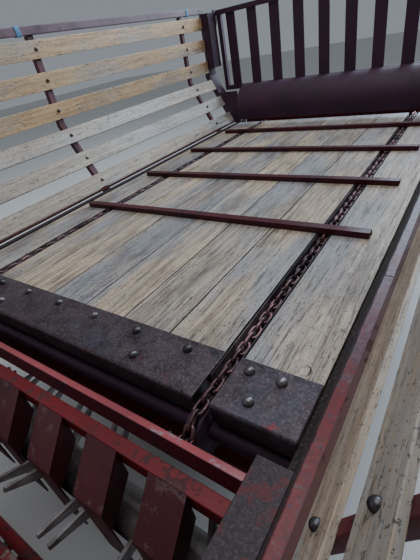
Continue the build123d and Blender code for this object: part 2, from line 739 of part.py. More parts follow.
# Wheels: a rim with its hub, and a trailer tyre; rows are (offset from the wheel's middle, radius)
tyre_rows = [(-108, 216), (-130, 270), (-122, 332), (-86, 366), (-40, wheel_r), (40, wheel_r), (86, 366),
             (122, 332), (130, 270), (108, 216)]
bead_x = 108.0
flange_t = 8.0
flange_rim_r = rim_r + 14.0
well_r = 165.0
hub_in_x = 110.0
hub_out_x = 55.0
disc_x = (25.0, 33.0)
for side, side_name in ((-1, "right"), (1, "left")):
    wheel_x = side * track_half
    disc = sorted(side * offset for offset in disc_x)
    with BuildPart() as rim:
        for stations, mode in (
            ([(-bead_x - flange_t, rim_r - fit_gap), (bead_x + flange_t, rim_r - fit_gap)], Mode.ADD),
            ([(-bead_x - flange_t, flange_rim_r), (-bead_x - fit_gap, flange_rim_r)], Mode.ADD),
            ([(bead_x + fit_gap, flange_rim_r), (bead_x + flange_t, flange_rim_r)], Mode.ADD),
            ([(-bead_x - flange_t, rim_r - 10), (disc[0], well_r)], Mode.SUBTRACT),
            ([(disc[1], well_r), (bead_x + flange_t, rim_r - 10)], Mode.SUBTRACT),
        ):
            turned(wheel_x, axle_y, wheel_r, stations, wheel_sides, mode=mode)
        hub_stations = [(-side * hub_in_x, stub_r + 25), (side * hub_out_x, stub_r + 20)]
        turned(wheel_x, axle_y, wheel_r, hub_stations, 14)
        hub_bore = around(stub_r, 20)
        turned(wheel_x, axle_y, wheel_r, [(-hub_in_x - 1, hub_bore), (hub_in_x + 1, hub_bore)], 20,
               mode=Mode.SUBTRACT)
    rim.part.label = f"rim_{side_name}"
    export_step(rim.part, f"parts/rim_{side_name}.step")

    with BuildPart() as tyre:
        turned(wheel_x, axle_y, wheel_r, tyre_rows, wheel_sides)
        turned(wheel_x, axle_y, wheel_r, [(-bead_x - 1, rim_r), (bead_x + 1, rim_r)], wheel_sides,
               mode=Mode.SUBTRACT)
    tyre.part.label = f"tyre_{side_name}"
    export_step(tyre.part, f"parts/tyre_{side_name}.step")

# Drawbar: two tubes that meet at the nose, the tow eye in front of it
beam_front_z = floor_z - front_beam_h / 2
jack_share = (jack_y - front_wall_y) / (arm_nose_y - front_wall_y)
jack_arm_x = arm_root_x + (arm_nose_x - arm_root_x) * jack_share
nose_z = eye_z + eye_t
jack_arm_z = beam_front_z + (nose_z - beam_front_z) * jack_share
jack_x = jack_arm_x + arm_w / 2 + jack_r + jack_gap
jack_low_z = jack_foot_t + jack_travel + 20
jack_sides = 16
clamp_half = 46.0
clamp_wall = 12.0
brace_in = 260.0
brace_w = 60.0
nose_lap = 20.0
with BuildPart() as drawbar:
    for side in (-1, 1):
        strut((side * arm_root_x, front_wall_y, beam_front_z), (side * arm_nose_x, arm_nose_y, nose_z),
              arm_w, arm_h)
    bar((-arm_nose_x - 40, arm_nose_x + 40), (arm_nose_y - nose_d, arm_nose_y + nose_lap),
        (nose_z - 65, nose_z + 55))
    brace_y = front_wall_y - brace_in
    brace_share = (brace_y - front_wall_y) / (arm_nose_y - front_wall_y)
    brace_x = arm_root_x + (arm_nose_x - arm_root_x) * brace_share
    brace_z = beam_front_z + (nose_z - beam_front_z) * brace_share
    bar((-brace_x, brace_x), (brace_y - brace_w / 2, brace_y + brace_w / 2),
        (brace_z - brace_w / 2, brace_z + brace_w / 2))
    split(bisect_by=Plane(origin=(0, front_wall_y, 0), z_dir=(0, -1, 0)))
    bar((jack_arm_x, jack_x), (jack_y - clamp_wall, jack_y + clamp_wall),
        (jack_arm_z - clamp_half, jack_arm_z + clamp_half))
    for radius, mode in ((jack_r + clamp_wall, Mode.ADD), (jack_r + fit_gap, Mode.SUBTRACT)):
        with BuildSketch(Plane.XY.offset(jack_arm_z - clamp_half)):
            with Locations((jack_x, jack_y)):
                RegularPolygon(radius, jack_sides)
        extrude(amount=2 * clamp_half, mode=mode)
drawbar.part.label = "drawbar"
export_step(drawbar.part, "parts/drawbar.step")

with BuildPart() as tow_eye:
    with BuildSketch(Plane.XY.offset(eye_z - eye_t / 2)):
        with Locations((0, eye_y)):
            RegularPolygon(eye_r, 20)
        with Locations((0, (eye_y + arm_nose_y - nose_d) / 2)):
            Rectangle(eye_neck_w, abs(arm_nose_y - nose_d - eye_y))
        with Locations((0, eye_y)):
            Circle(eye_bore_r, mode=Mode.SUBTRACT)
    extrude(amount=eye_t)
tow_eye.part.label = "tow_eye"
export_step(tow_eye.part, "parts/tow_eye.step")

# Jack beside the right arm: a fixed outer tube and a sliding leg with its foot
crank_z = jack_top_z + 32
crank_reach = 110.0
crank_w = 14.0
handle_h = 88.0
with BuildPart() as jack_housing:
    for low, radius, height in (
        (jack_low_z, jack_r, jack_top_z - jack_low_z),
        (jack_arm_z + clamp_half, jack_r + 10, 10),
    ):
        with BuildSketch(Plane.XY.offset(low)):
            with Locations((jack_x, jack_y)):
                RegularPolygon(radius, jack_sides)
        extrude(amount=height)
    with BuildSketch(Plane.XY.offset(jack_low_z)):
        with Locations((jack_x, jack_y)):
            RegularPolygon(around(jack_leg_r, jack_sides), jack_sides)
    extrude(amount=jack_top_z - jack_cap_t - jack_low_z, mode=Mode.SUBTRACT)
    crank_y = (jack_y - crank_w / 2, jack_y + crank_w / 2)
    bar((jack_x - crank_w / 2, jack_x + crank_w / 2), crank_y, (jack_top_z, crank_z))
    handle_x = jack_x + crank_reach
    bar((jack_x - crank_w / 2, handle_x), crank_y, (crank_z, crank_z + crank_w))
    bar((handle_x - crank_w, handle_x), crank_y, (crank_z + crank_w, crank_z + handle_h))
jack_housing.part.label = "jack_housing"
export_step(jack_housing.part, "parts/jack_housing.step")

with BuildPart() as jack_leg:
    with BuildSketch(Plane.XY):
        with Locations((jack_x, jack_y)):
            RegularPolygon(jack_foot_r, jack_sides)
    extrude(amount=jack_foot_t)
    leg_top_z = jack_top_z - jack_cap_t - jack_travel - 5
    rod((jack_x, jack_y, jack_foot_t), (jack_x, jack_y, leg_top_z), jack_leg_r)
jack_leg.part.label = "jack_leg"
export_step(jack_leg.part, "parts/jack_leg.step")

# Feed channel: cheek plates, the stripper beam and its hat strips, and the feeder rotor
channel_front_y = front_wall_y + front_beam_d
cheek_low_z = pivot_z - 110.0
with BuildPart() as channel_cheeks:
    with BuildSketch(profile(cheek_x)):
        Polygon((channel_front_y, floor_z), (channel_front_y, 840), (pivot_y - 150, pivot_z + 60),
                (pivot_y - 130, cheek_low_z), (cheek_rear_y - 20, cheek_low_z), (cheek_rear_y, 760),
                (cheek_rear_y, floor_z), align=None)
        for bore_y, bore_z, bore_r in ((rotor_y, rotor_z, rotor_shaft_r), (pivot_y, pivot_z, pivot_r)):
            with Locations((bore_y, bore_z)):
                RegularPolygon(around(bore_r, 16), 16, mode=Mode.SUBTRACT)
    extrude(amount=cheek_t)
    bar((cheek_x, rail_x), (channel_front_y, cheek_rear_y), (floor_z - cheek_t, floor_z))
    mirror(about=Plane.YZ)
channel_cheeks.part.label = "channel_cheeks"
export_step(channel_cheeks.part, "parts/channel_cheeks.step")

with BuildPart() as stripper_beam:
    bar((-cheek_x, cheek_x), beam_y, beam_z)
stripper_beam.part.label = "stripper_beam"
export_step(stripper_beam.part, "parts/stripper_beam.step")

gusset_h = 74.0
gusset_d = 46.0
with BuildPart() as stripper_plates:
    for number in range(stripper_count):
        middle = (number - (stripper_count - 1) / 2) * stripper_pitch
        with BuildSketch(profile(middle - stripper_w / 2)):
            with BuildLine():
                strip = Polyline((beam_y[1], beam_z[1]), (beam_y[0], beam_z[1]), stripper_knee,
                                 (stripper_knee[0], stripper_low_z))
                offset(strip, amount=stripper_t, side=Side.RIGHT, closed=True)
            make_face()
        extrude(amount=stripper_w)
        for edge in (-stripper_w / 2, stripper_w / 2 - stripper_t):
            with BuildSketch(profile(middle + edge)):
                Polygon((beam_y[0], beam_z[1]), stripper_knee, (stripper_knee[0], stripper_knee[1] - gusset_h),
                        (stripper_knee[0] + gusset_d, stripper_knee[1] - gusset_h / 2),
                        (beam_y[0], beam_z[0]), align=None)
            extrude(amount=stripper_t)
stripper_plates.part.label = "stripper_plates"
export_step(stripper_plates.part, "parts/stripper_plates.step")

# Feeder rotor: a drum with pairs of tines between the strips, and its shaft ends in the cheeks
fork_stations = stripper_count + 1
forks_round = 3
fork_step = 15.0
fork_phase = 88.0
fork_root_half = 22.0
with BuildPart() as feeder_rotor:
    turned(0, rotor_y, rotor_z, [(-rotor_half, rotor_drum_r), (rotor_half, rotor_drum_r)], 16)
    for station in range(fork_stations):
        middle = (station - (fork_stations - 1) / 2) * stripper_pitch
        for fork in range(forks_round):
            turn = radians(fork_phase + station * fork_step + fork * 360 / forks_round)
            across = (0, cos(turn), sin(turn))
            for face in (-fork_gap / 2 - fork_t, fork_gap / 2):
                fork_place = (middle + face, rotor_y, rotor_z)
                with BuildSketch(Plane(origin=fork_place, x_dir=across, z_dir=(1, 0, 0))):
                    Polygon((rotor_drum_r - 10, -fork_root_half), (rotor_drum_r - 10, fork_root_half),
                            (rotor_tip_r, 6), (rotor_tip_r, -8), align=None)
                extrude(amount=fork_t)
feeder_rotor.part.label = "feeder_rotor"
export_step(feeder_rotor.part, "parts/feeder_rotor.step")

guard_x = (-950.0, -882.0)
run_gap = 6.0
with BuildPart() as feeder_stubs:
    rod((guard_x[1] + run_gap, rotor_y, rotor_z), (-rotor_half, rotor_y, rotor_z), rotor_shaft_r)
    rod((rotor_half, rotor_y, rotor_z), (cheek_x + 30, rotor_y, rotor_z), rotor_shaft_r)
feeder_stubs.part.label = "feeder_stubs"
export_step(feeder_stubs.part, "parts/feeder_stubs.step")

# Guide sheet in front of the channel
with BuildPart() as guide_sheet:
    with BuildSketch(profile(-cheek_x + 2)):
        with BuildLine():
            guide = Polyline((channel_front_y, floor_z), (channel_front_y + 4, 830), (-840, 690))
            offset(guide, amount=4, side=Side.LEFT, closed=True)
        make_face()
    extrude(amount=2 * cheek_x - 4)
guide_sheet.part.label = "guide_sheet"
export_step(guide_sheet.part, "parts/guide_sheet.step")

# Pick-up: side plates on the pivots, cross tubes, bands round the reel and a crop guard
plate_outline = [
    (pivot_y + 34, pivot_z + 20), (pivot_y + 20, pivot_z - 36), (-800, 300),
    (reel_y + 60, reel_z - band_r - 20), (reel_y - 70, reel_z - 90), (reel_y - 70, reel_z + 90),
    (reel_y + 60, reel_z + band_r + 20), (-820, 600),
]
tie_y, tie_z = -805.0, 338.0
tie_r = 20.0
shelf_y, shelf_z = -835.0, 590.0
with BuildPart() as pickup_sides:
    with BuildSketch(profile(side_plate_x)):
        Polygon(*plate_outline, align=None)
        with Locations((gauge_y, gauge_z)):
            RegularPolygon(40, 12)
        with Locations((reel_y, reel_z)):
            RegularPolygon(around(reel_shaft_r, 16), 16, mode=Mode.SUBTRACT)
    extrude(amount=side_plate_t)
    rod((cheek_x, pivot_y, pivot_z), (side_plate_x + side_plate_t, pivot_y, pivot_z), pivot_r)
    rod((side_plate_x, gauge_y, gauge_z), (side_plate_x + 40 + gauge_w, gauge_y, gauge_z), gauge_pin_r)
    mirror(about=Plane.YZ)
pickup_sides.part.label = "pickup_sides"
export_step(pickup_sides.part, "parts/pickup_sides.step")

with BuildPart() as pickup_ties:
    turned(0, tie_y, tie_z, [(-side_plate_x, tie_r), (side_plate_x, tie_r)], 12)
    bar((-side_plate_x, side_plate_x), (shelf_y - 15, shelf_y + 15), (shelf_z - 8, shelf_z + 8))
pickup_ties.part.label = "pickup_ties"
export_step(pickup_ties.part, "parts/pickup_ties.step")

tie_low_z = tie_z - tie_r - fit_gap
nose_segments = 7
with BuildPart() as pickup_bands:
    for number in range(band_count):
        middle = (number - (band_count - 1) / 2) * band_pitch
        outer = arc_points((reel_y, reel_z), band_r, 90, 270, nose_segments)
        inner = arc_points((reel_y, reel_z), band_r - band_t, 90, 270, nose_segments)
        with BuildSketch(profile(middle - band_w / 2)):
            Polygon((shelf_y + 15, shelf_z + 8 + band_t), *outer, (tie_y, tie_low_z - band_t),
                    (tie_y, tie_low_z), *inner[::-1], (shelf_y - 15, shelf_z + 8), (shelf_y + 15, shelf_z + 8),
                    align=None)
        extrude(amount=band_w)
pickup_bands.part.label = "pickup_bands"
export_step(pickup_bands.part, "parts/pickup_bands.step")

tine_bars = 4
tine_t = 8.0
tine_bar_r = 110.0
tine_bar_half = 725.0
with BuildPart() as pickup_reel:
    reel_half = side_plate_x + side_plate_t
    turned(0, reel_y, reel_z, [(-tine_bar_half, reel_shaft_r), (tine_bar_half, reel_shaft_r)], 12)
    for side in (-1, 1):
        rod((side * tine_bar_half, reel_y, reel_z), (side * reel_half, reel_y, reel_z), reel_shaft_r)
    for spider_x in (-704.0, -4.0, 696.0):
        with BuildSketch(profile(spider_x)):
            with Locations((reel_y, reel_z)):
                RegularPolygon(tine_bar_r + 15, tine_bars, rotation=45)
        extrude(amount=tine_t)
    for tine_bar in range(tine_bars):
        turn = radians(45 + tine_bar * 360 / tine_bars)
        across = (0, cos(turn), sin(turn))
        with BuildSketch(Plane(origin=(-tine_bar_half, reel_y, reel_z), x_dir=across, z_dir=(1, 0, 0))):
            with Locations((tine_bar_r, 0)):
                Rectangle(22, 22)
        extrude(amount=2 * tine_bar_half)
        for number in range(band_count - 1):
            tine_x = (number - (band_count - 2) / 2) * band_pitch - tine_t / 2
            with BuildSketch(Plane(origin=(tine_x, reel_y, reel_z), x_dir=across, z_dir=(1, 0, 0))):
                Polygon((tine_bar_r, -5), (tine_bar_r, 5), (reel_tip_r, -6), (reel_tip_r - 8, -13),
                        align=None)
            extrude(amount=tine_t)
pickup_reel.part.label = "pickup_reel"
export_step(pickup_reel.part, "parts/pickup_reel.step")

with BuildPart() as crop_guard:
    for side in (-1, 1):
        guard_arm_x = side * (side_plate_x - 6)
        strut((guard_arm_x, reel_y + 55, reel_z + 130), (guard_arm_x, reel_y - 60, reel_z + 285), 12, 30)
    with BuildSketch(profile(-side_plate_x)):
        with BuildLine():
            CenterArc((reel_y, reel_z), 285, 80, 55)
            CenterArc((reel_y, reel_z), 289, 80, 55)
            for end in (80, 135):
                Line((reel_y + 285 * cos(radians(end)), reel_z + 285 * sin(radians(end))),
                     (reel_y + 289 * cos(radians(end)), reel_z + 289 * sin(radians(end))))
        make_face()
    extrude(amount=2 * side_plate_x)
crop_guard.part.label = "crop_guard"
export_step(crop_guard.part, "parts/crop_guard.step")

for side, side_name in ((-1, "right"), (1, "left")):
    gauge_x = side * (side_plate_x + side_plate_t + 20 + gauge_w / 2)
    gauge_half = gauge_w / 2
    with BuildPart() as gauge_wheel:
        turned(gauge_x, gauge_y, gauge_z, [(-gauge_half, gauge_r - 12), (-gauge_half + 18, gauge_r),
                                           (gauge_half - 18, gauge_r), (gauge_half, gauge_r - 12)], 16)
        for face in (-1, 1):
            dish = [(face * gauge_half, gauge_r - 50), (face * 12, gauge_r - 55)]
            turned(gauge_x, gauge_y, gauge_z, dish, 16, mode=Mode.SUBTRACT)
        turned(gauge_x, gauge_y, gauge_z, [(-30, 30), (30, 30)], 12)
        gauge_bore = around(gauge_pin_r, 12)
        turned(gauge_x, gauge_y, gauge_z, [(-30, gauge_bore), (30, gauge_bore)], 12, mode=Mode.SUBTRACT)
    gauge_wheel.part.label = f"gauge_wheel_{side_name}"
    export_step(gauge_wheel.part, f"parts/gauge_wheel_{side_name}.step")

# Drive: gearbox with its input stub, cross shaft, chain guard and the rod to the scraper's ratchet
gearbox_front_y = gearbox_y - 130
with BuildPart() as gearbox:
    with BuildSketch(profile(-gearbox_half)):
        with Locations(((gearbox_front_y + front_wall_y) / 2, gearbox_z + 20)):
            Rectangle(front_wall_y - gearbox_front_y, 160)
        chamfer(vertices(), 18)
    extrude(amount=2 * gearbox_half)
    with BuildSketch(section(gearbox_front_y)):
        with Locations((0, gearbox_z)):
            RegularPolygon(45, 12)
    extrude(amount=20)
    rod((0, gearbox_front_y - 20, gearbox_z), (0, gearbox_front_y - 20 - pto_length, gearbox_z), pto_r)
gearbox.part.label = "gearbox"
export_step(gearbox.part, "parts/gearbox.step")

with BuildPart() as cross_shaft:
    turned(0, gearbox_y, gearbox_z, [(guard_x[1], 20), (-gearbox_half, 20)], 12)
cross_shaft.part.label = "cross_shaft"
export_step(cross_shaft.part, "parts/cross_shaft.step")

with BuildPart() as drive_guard:
    tilt = degrees(atan2(rotor_z - gearbox_z, rotor_y - gearbox_y))
    with BuildSketch(profile(guard_x[0])):
        Polygon(*arc_points((gearbox_y, gearbox_z), 75, tilt + 90, tilt + 270, 9),
                *arc_points((rotor_y, rotor_z), 75, tilt - 90, tilt + 90, 9), align=None)
    extrude(amount=guard_x[1] - guard_x[0])
drive_guard.part.label = "drive_guard"
export_step(drive_guard.part, "parts/drive_guard.step")

drive_x = -rail_out - 22
drive_rod_z = 850.0
with BuildPart() as scraper_drive:
    turned(drive_x, bed_rear_y, shaft_z, [(-8, 70), (8, 70)], 16)
    strut((drive_x, bed_rear_y, shaft_z - 40), (drive_x, bed_rear_y, drive_rod_z - 8), 14, 40)
    bar((drive_x - 7, drive_x + 7), (rotor_y, bed_rear_y), (drive_rod_z - 8, drive_rod_z + 8))
    bar((drive_x - 7, guard_x[0] + 20), (rotor_y - 20, rotor_y + 20), (740, drive_rod_z + 10))
scraper_drive.part.label = "scraper_drive"
export_step(scraper_drive.part, "parts/scraper_drive.step")

# Tail lamps on the back of the rear beam
lamp_x = 700.0
with BuildPart() as tail_lamps:
    for side in (-1, 1):
        with BuildSketch(section(rail_rear_y)):
            with Locations((side * lamp_x, (rear_beam_z[0] + rear_beam_z[1]) / 2)):
                Rectangle(150, 70)
            chamfer(vertices(), 12)
        extrude(amount=-30)
tail_lamps.part.label = "tail_lamps"
export_step(tail_lamps.part, "parts/tail_lamps.step")
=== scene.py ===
"""Looks of a self-loading hay wagon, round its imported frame. Metres, +Z up, +Y towards the tailgate."""
import json
import random
from math import atan2, cos, hypot, pi, radians, sin

import bpy
from mathutils import Euler, Matrix, Vector


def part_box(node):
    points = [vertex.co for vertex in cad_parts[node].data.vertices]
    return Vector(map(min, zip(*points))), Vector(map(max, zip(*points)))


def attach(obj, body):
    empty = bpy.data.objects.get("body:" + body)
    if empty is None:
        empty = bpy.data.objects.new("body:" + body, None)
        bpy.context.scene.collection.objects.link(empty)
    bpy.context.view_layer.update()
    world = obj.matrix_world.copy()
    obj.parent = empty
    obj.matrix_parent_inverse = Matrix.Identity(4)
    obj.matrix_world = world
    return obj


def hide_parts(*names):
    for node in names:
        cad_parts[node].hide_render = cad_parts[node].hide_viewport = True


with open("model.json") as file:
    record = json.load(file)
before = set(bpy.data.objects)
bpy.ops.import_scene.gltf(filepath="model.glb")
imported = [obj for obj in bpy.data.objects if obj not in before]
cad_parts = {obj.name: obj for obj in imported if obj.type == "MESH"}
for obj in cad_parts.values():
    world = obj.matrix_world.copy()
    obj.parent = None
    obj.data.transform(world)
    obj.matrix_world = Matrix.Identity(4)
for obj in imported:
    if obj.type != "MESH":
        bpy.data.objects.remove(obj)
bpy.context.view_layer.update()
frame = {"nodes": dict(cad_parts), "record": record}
nodes = frame["nodes"]
bpy.ops.object.select_all(action="DESELECT")

# Sizes that pieces share
front_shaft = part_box("front_idlers")
rear_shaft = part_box("rear_drive_shaft")
chain_x = 0.623
link_wire = 0.0105
link_width = 0.036
turn_r = 0.078
loop_front = (front_shaft[0].y + front_shaft[1].y) / 2
loop_rear = (rear_shaft[0].y + rear_shaft[1].y) / 2
loop_z = (front_shaft[0].z + front_shaft[1].z) / 2
links_round = 178
floor_low, floor_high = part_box("floor_planks")
plank_pitch = 0.198
outer_plank = (0.652, 0.8625)
rail_inner = 0.880

# Camera: it stands over the feed channel and looks down across the bed
camera_place = (1.050, -0.765, 1.700)
camera_turn = 39.68
camera_dip = 32.88
camera_roll = 11.72
camera_lens = 23.36


def add_camera():
    """Camera at the photograph's place, turned left, dipped and rolled."""
    data = bpy.data.cameras.new("camera")
    data.lens = camera_lens
    data.sensor_width = 36.0
    data.sensor_fit = "AUTO"
    data.clip_start = 0.02
    camera = bpy.data.objects.new("camera", data)
    bpy.context.scene.collection.objects.link(camera)
    level = Euler((radians(90 - camera_dip), 0, radians(camera_turn)), "XYZ").to_matrix()
    roll = Matrix.Rotation(radians(-camera_roll), 3, "Z")
    camera.matrix_world = Matrix.Translation(camera_place) @ (level @ roll).to_4x4()
    bpy.context.scene.camera = camera


# Node helpers for the finishes
def start_material(name):
    """New material, with its node tree and its Principled shader."""
    material = bpy.data.materials.new(name)
    material.use_nodes = True
    tree = material.node_tree
    shader = tree.nodes["Principled BSDF"]
    return material, tree, shader


def stretched(tree, vector, scale):
    """Vector times a scale along each axis."""
    mapping = tree.nodes.new("ShaderNodeMapping")
    mapping.inputs["Scale"].default_value = scale
    tree.links.new(vector, mapping.inputs["Vector"])
    return mapping.outputs["Vector"]


def object_coords(tree, scale=(1, 1, 1)):
    """Object coordinates, stretched."""
    coords = tree.nodes.new("ShaderNodeTexCoord")
    return stretched(tree, coords.outputs["Object"], scale)


def noise(tree, vector, scale, detail=4.0, roughness=0.6, distortion=0.0):
    """Noise value on a vector."""
    node = tree.nodes.new("ShaderNodeTexNoise")
    node.inputs["Scale"].default_value = scale
    node.inputs["Detail"].default_value = detail
    node.inputs["Roughness"].default_value = roughness
    node.inputs["Distortion"].default_value = distortion
    tree.links.new(vector, node.inputs["Vector"])
    return node.outputs["Fac"]


def ramp(tree, value, low, high, reverse=False):
    """Value run from 0 to 1 between low and high."""
    node = tree.nodes.new("ShaderNodeMapRange")
    node.interpolation_type = "SMOOTHSTEP"
    node.inputs["From Min"].default_value = low
    node.inputs["From Max"].default_value = high
    node.inputs["To Min"].default_value = 1.0 if reverse else 0.0
    node.inputs["To Max"].default_value = 0.0 if reverse else 1.0
    tree.links.new(value, node.inputs["Value"])
    return node.outputs["Result"]


def mix(tree, factor, first, second):
    """Colour between two colours, each plain or from a node."""
    node = tree.nodes.new("ShaderNodeMix")
    node.data_type = "RGBA"
    tree.links.new(factor, node.inputs[0])
    for socket, colour in ((node.inputs[6], first), (node.inputs[7], second)):
        if isinstance(colour, tuple):
            socket.default_value = (*colour, 1.0)
        else:
            tree.links.new(colour, socket)
    return node.outputs[2]


def maths(tree, operation, first, second=None):
    """One step of arithmetic on values or numbers."""
    node = tree.nodes.new("ShaderNodeMath")
    node.operation = operation
    for socket, value in zip(node.inputs, (first, second)):
        if value is None:
            continue
        if isinstance(value, (int, float)):
            socket.default_value = value
        else:
            tree.links.new(value, socket)
    return node.outputs[0]


def scaled(tree, value, factor):
    """A value times a number or another value."""
    return maths(tree, "MULTIPLY", value, factor)


def added(tree, value, more):
    """A value plus a number or another value."""
    return maths(tree, "ADD", value, more)


def less(tree, value, taken):
    """A value minus a number or another value."""
    return maths(tree, "SUBTRACT", value, taken)


def lay_over(tree, colour, mask, strength, tint):
    """Colour with a tint over it where the mask is."""
    return mix(tree, scaled(tree, mask, strength), colour, tint)


def part_of(tree, vector, axis):
    """One coordinate of a vector."""
    node = tree.nodes.new("ShaderNodeSeparateXYZ")
    tree.links.new(vector, node.inputs["Vector"])
    return node.outputs["XYZ".index(axis)]


def attribute(tree, name):
    """A piece's own named value."""
    node = tree.nodes.new("ShaderNodeAttribute")
    node.attribute_name = name
    return node.outputs["Fac"]


def board_coords(tree, shade, scale):
    """Object coordinates shifted by the board's own shade, so that no grain runs on into the next."""
    coords = tree.nodes.new("ShaderNodeTexCoord")
    shift = tree.nodes.new("ShaderNodeVectorMath")
    shift.operation = "SCALE"
    shift.inputs[0].default_value = (3.7, 19.0, 2.3)
    tree.links.new(shade, shift.inputs["Scale"])
    moved = tree.nodes.new("ShaderNodeVectorMath")
    moved.operation = "ADD"
    tree.links.new(coords.outputs["Object"], moved.inputs[0])
    tree.links.new(shift.outputs["Vector"], moved.inputs[1])
    return stretched(tree, moved.outputs["Vector"], scale)


def knots(tree, vector):
    """Knots and the dark ring round each: small spots scattered wide, drawn out along the board."""
    cells = tree.nodes.new("ShaderNodeTexVoronoi")
    cells.inputs["Scale"].default_value = 1.0
    tree.links.new(stretched(tree, vector, (5.2, 2.1, 5.2)), cells.inputs["Vector"])
    ragged = scaled(tree, noise(tree, vector, 60.0, 4.0, 0.6), 0.05)
    reach = added(tree, cells.outputs["Distance"], ragged)
    core = ramp(tree, reach, 0.052, 0.074, reverse=True)
    outer = ramp(tree, reach, 0.082, 0.100, reverse=True)
    return core, less(tree, outer, core)


def set_skin(tree, shader, colour, roughness):
    """Colour and roughness; a plain number for the roughness goes on the socket itself."""
    tree.links.new(colour, shader.inputs["Base Color"])
    if isinstance(roughness, float):
        shader.inputs["Roughness"].default_value = roughness
    else:
        tree.links.new(roughness, shader.inputs["Roughness"])


def add_bump(tree, shader, height, strength, distance):
    """Bump from a height value."""
    node = tree.nodes.new("ShaderNodeBump")
    node.inputs["Strength"].default_value = strength
    node.inputs["Distance"].default_value = distance
    tree.links.new(height, node.inputs["Height"])
    tree.links.new(node.outputs["Normal"], shader.inputs["Normal"])


def wood(name, pale, dark, grey_pale, grey_dark, grime, lines, bluish_sheen, bed_top=None):
    """Weathered board along Y: long grain, knots, short dark dashes, pores and large grey stains, with
    bluish patches of painted sky reflection; on the bed, the plank sides below the top are darkened as
    painted shade in the gaps.
    """
    stain = (0.030, 0.025, 0.022)
    knot_heart = (0.10, 0.060, 0.040)
    painted_gap_shade = (0.014, 0.011, 0.010)
    material, tree, shader = start_material(name)
    shade = attribute(tree, "shade")
    plain = board_coords(tree, shade, (1.0, 1.0, 1.0))
    along = board_coords(tree, shade, (1.0, 0.045, 1.0))
    dashes = board_coords(tree, shade, (1.0, 0.16, 1.0))
    drawn = board_coords(tree, shade, (1.0, 0.30, 1.0))
    grain = noise(tree, along, 36.0, 7.0, 0.66, 0.9)
    fine = noise(tree, along, 170.0, 5.0, 0.7)
    crack = ramp(tree, noise(tree, along, 22.0, 8.0, 0.74, 1.1), 0.330, 0.362, reverse=True)
    line = ramp(tree, noise(tree, along, 120.0, 6.0, 0.72, 0.3), 0.530, 0.590)
    dash = ramp(tree, noise(tree, dashes, 135.0, 4.0, 0.78), 0.580, 0.630)
    pore = ramp(tree, noise(tree, plain, 105.0, 3.0, 0.7), 0.604, 0.648)
    cloud = ramp(tree, noise(tree, drawn, 7.0, 8.0, 0.68), 0.47, 0.66)
    sky = ramp(tree, noise(tree, drawn, 3.6, 6.0, 0.6), 0.44, 0.61)
    knot, ring = knots(tree, plain)
    tone = ramp(tree, grain, 0.30, 0.70)
    colour = mix(tree, shade, mix(tree, tone, dark, pale), mix(tree, tone, grey_dark, grey_pale))
    # painted sky reflection: bluish patches laid over the wood by a large noise
    colour = lay_over(tree, colour, sky, 0.60, bluish_sheen)
    fine_dark = ramp(tree, fine, 0.35, 0.70, reverse=True)
    colour = lay_over(tree, colour, fine_dark, 0.42, dark)
    colour = lay_over(tree, colour, line, lines, stain)
    colour = lay_over(tree, colour, cloud, grime, stain)
    colour = lay_over(tree, colour, ring, 0.62, stain)
    colour = lay_over(tree, colour, knot, 0.72, knot_heart)
    colour = lay_over(tree, colour, dash, 0.70, stain)
    colour = lay_over(tree, colour, pore, 0.80, stain)
    colour = lay_over(tree, colour, crack, 0.88, stain)
    # painted shade in the gaps: the plank sides and rounded edges below the bed top are darkened nearly
    # to black
    if bed_top:
        level = part_of(tree, object_coords(tree), "Z")
        gap_shade_mask = ramp(tree, level, bed_top - 0.0030, bed_top - 0.0009, reverse=True)
        colour = lay_over(tree, colour, gap_shade_mask, 0.92, painted_gap_shade)
    set_skin(tree, shader, colour, added(tree, scaled(tree, grain, -0.25), 0.60))
    height = less(tree, added(tree, grain, scaled(tree, fine, 0.5)), crack)
    height = less(tree, height, scaled(tree, dash, 0.7))
    add_bump(tree, shader, height, 0.6, 0.0012)
    return material


def painted_steel(name, paint, worn, rust, wear, rough):
    """Old paint on steel: faded, chipped through in patches with rust in their middle, dusty, grimy."""
    grime = (0.030, 0.022, 0.020)
    dusty = tuple(0.05 + 1.2 * part for part in worn)
    shaded = tuple(0.70 * part for part in paint)
    material, tree, shader = start_material(name)
    plain = object_coords(tree)
    patch = noise(tree, plain, 6.0, 9.0, 0.70, 0.5)
    small = noise(tree, plain, 30.0, 7.0, 0.72)
    mask = added(tree, scaled(tree, patch, 0.6), scaled(tree, small, 0.4))
    edge = 0.66 - 0.26 * wear
    worn_mask = ramp(tree, mask, edge, edge + 0.025)
    rust_mask = ramp(tree, mask, edge + 0.03, edge + 0.08)
    grime_mask = ramp(tree, noise(tree, plain, 4.2, 7.0, 0.66, 0.3), 0.50, 0.68)
    faded = mix(tree, ramp(tree, noise(tree, plain, 2.4, 4.0), 0.35, 0.7), paint, shaded)
    faded = lay_over(tree, faded, grime_mask, 0.5, grime)
    colour = mix(tree, worn_mask, faded, worn)
    colour = mix(tree, rust_mask, colour, rust)
    dust = ramp(tree, noise(tree, plain, 85.0, 4.0, 0.8), 0.60, 0.76)
    colour = lay_over(tree, colour, dust, 0.30, dusty)
    roughness = added(tree, scaled(tree, worn_mask, 0.22), rough)
    set_skin(tree, shader, colour, added(tree, roughness, scaled(tree, grime_mask, 0.12)))
    shader.inputs["Specular IOR Level"].default_value = 0.32
    add_bump(tree, shader, less(tree, small, scaled(tree, worn_mask, 0.7)), 0.40, 0.0009)
    return material


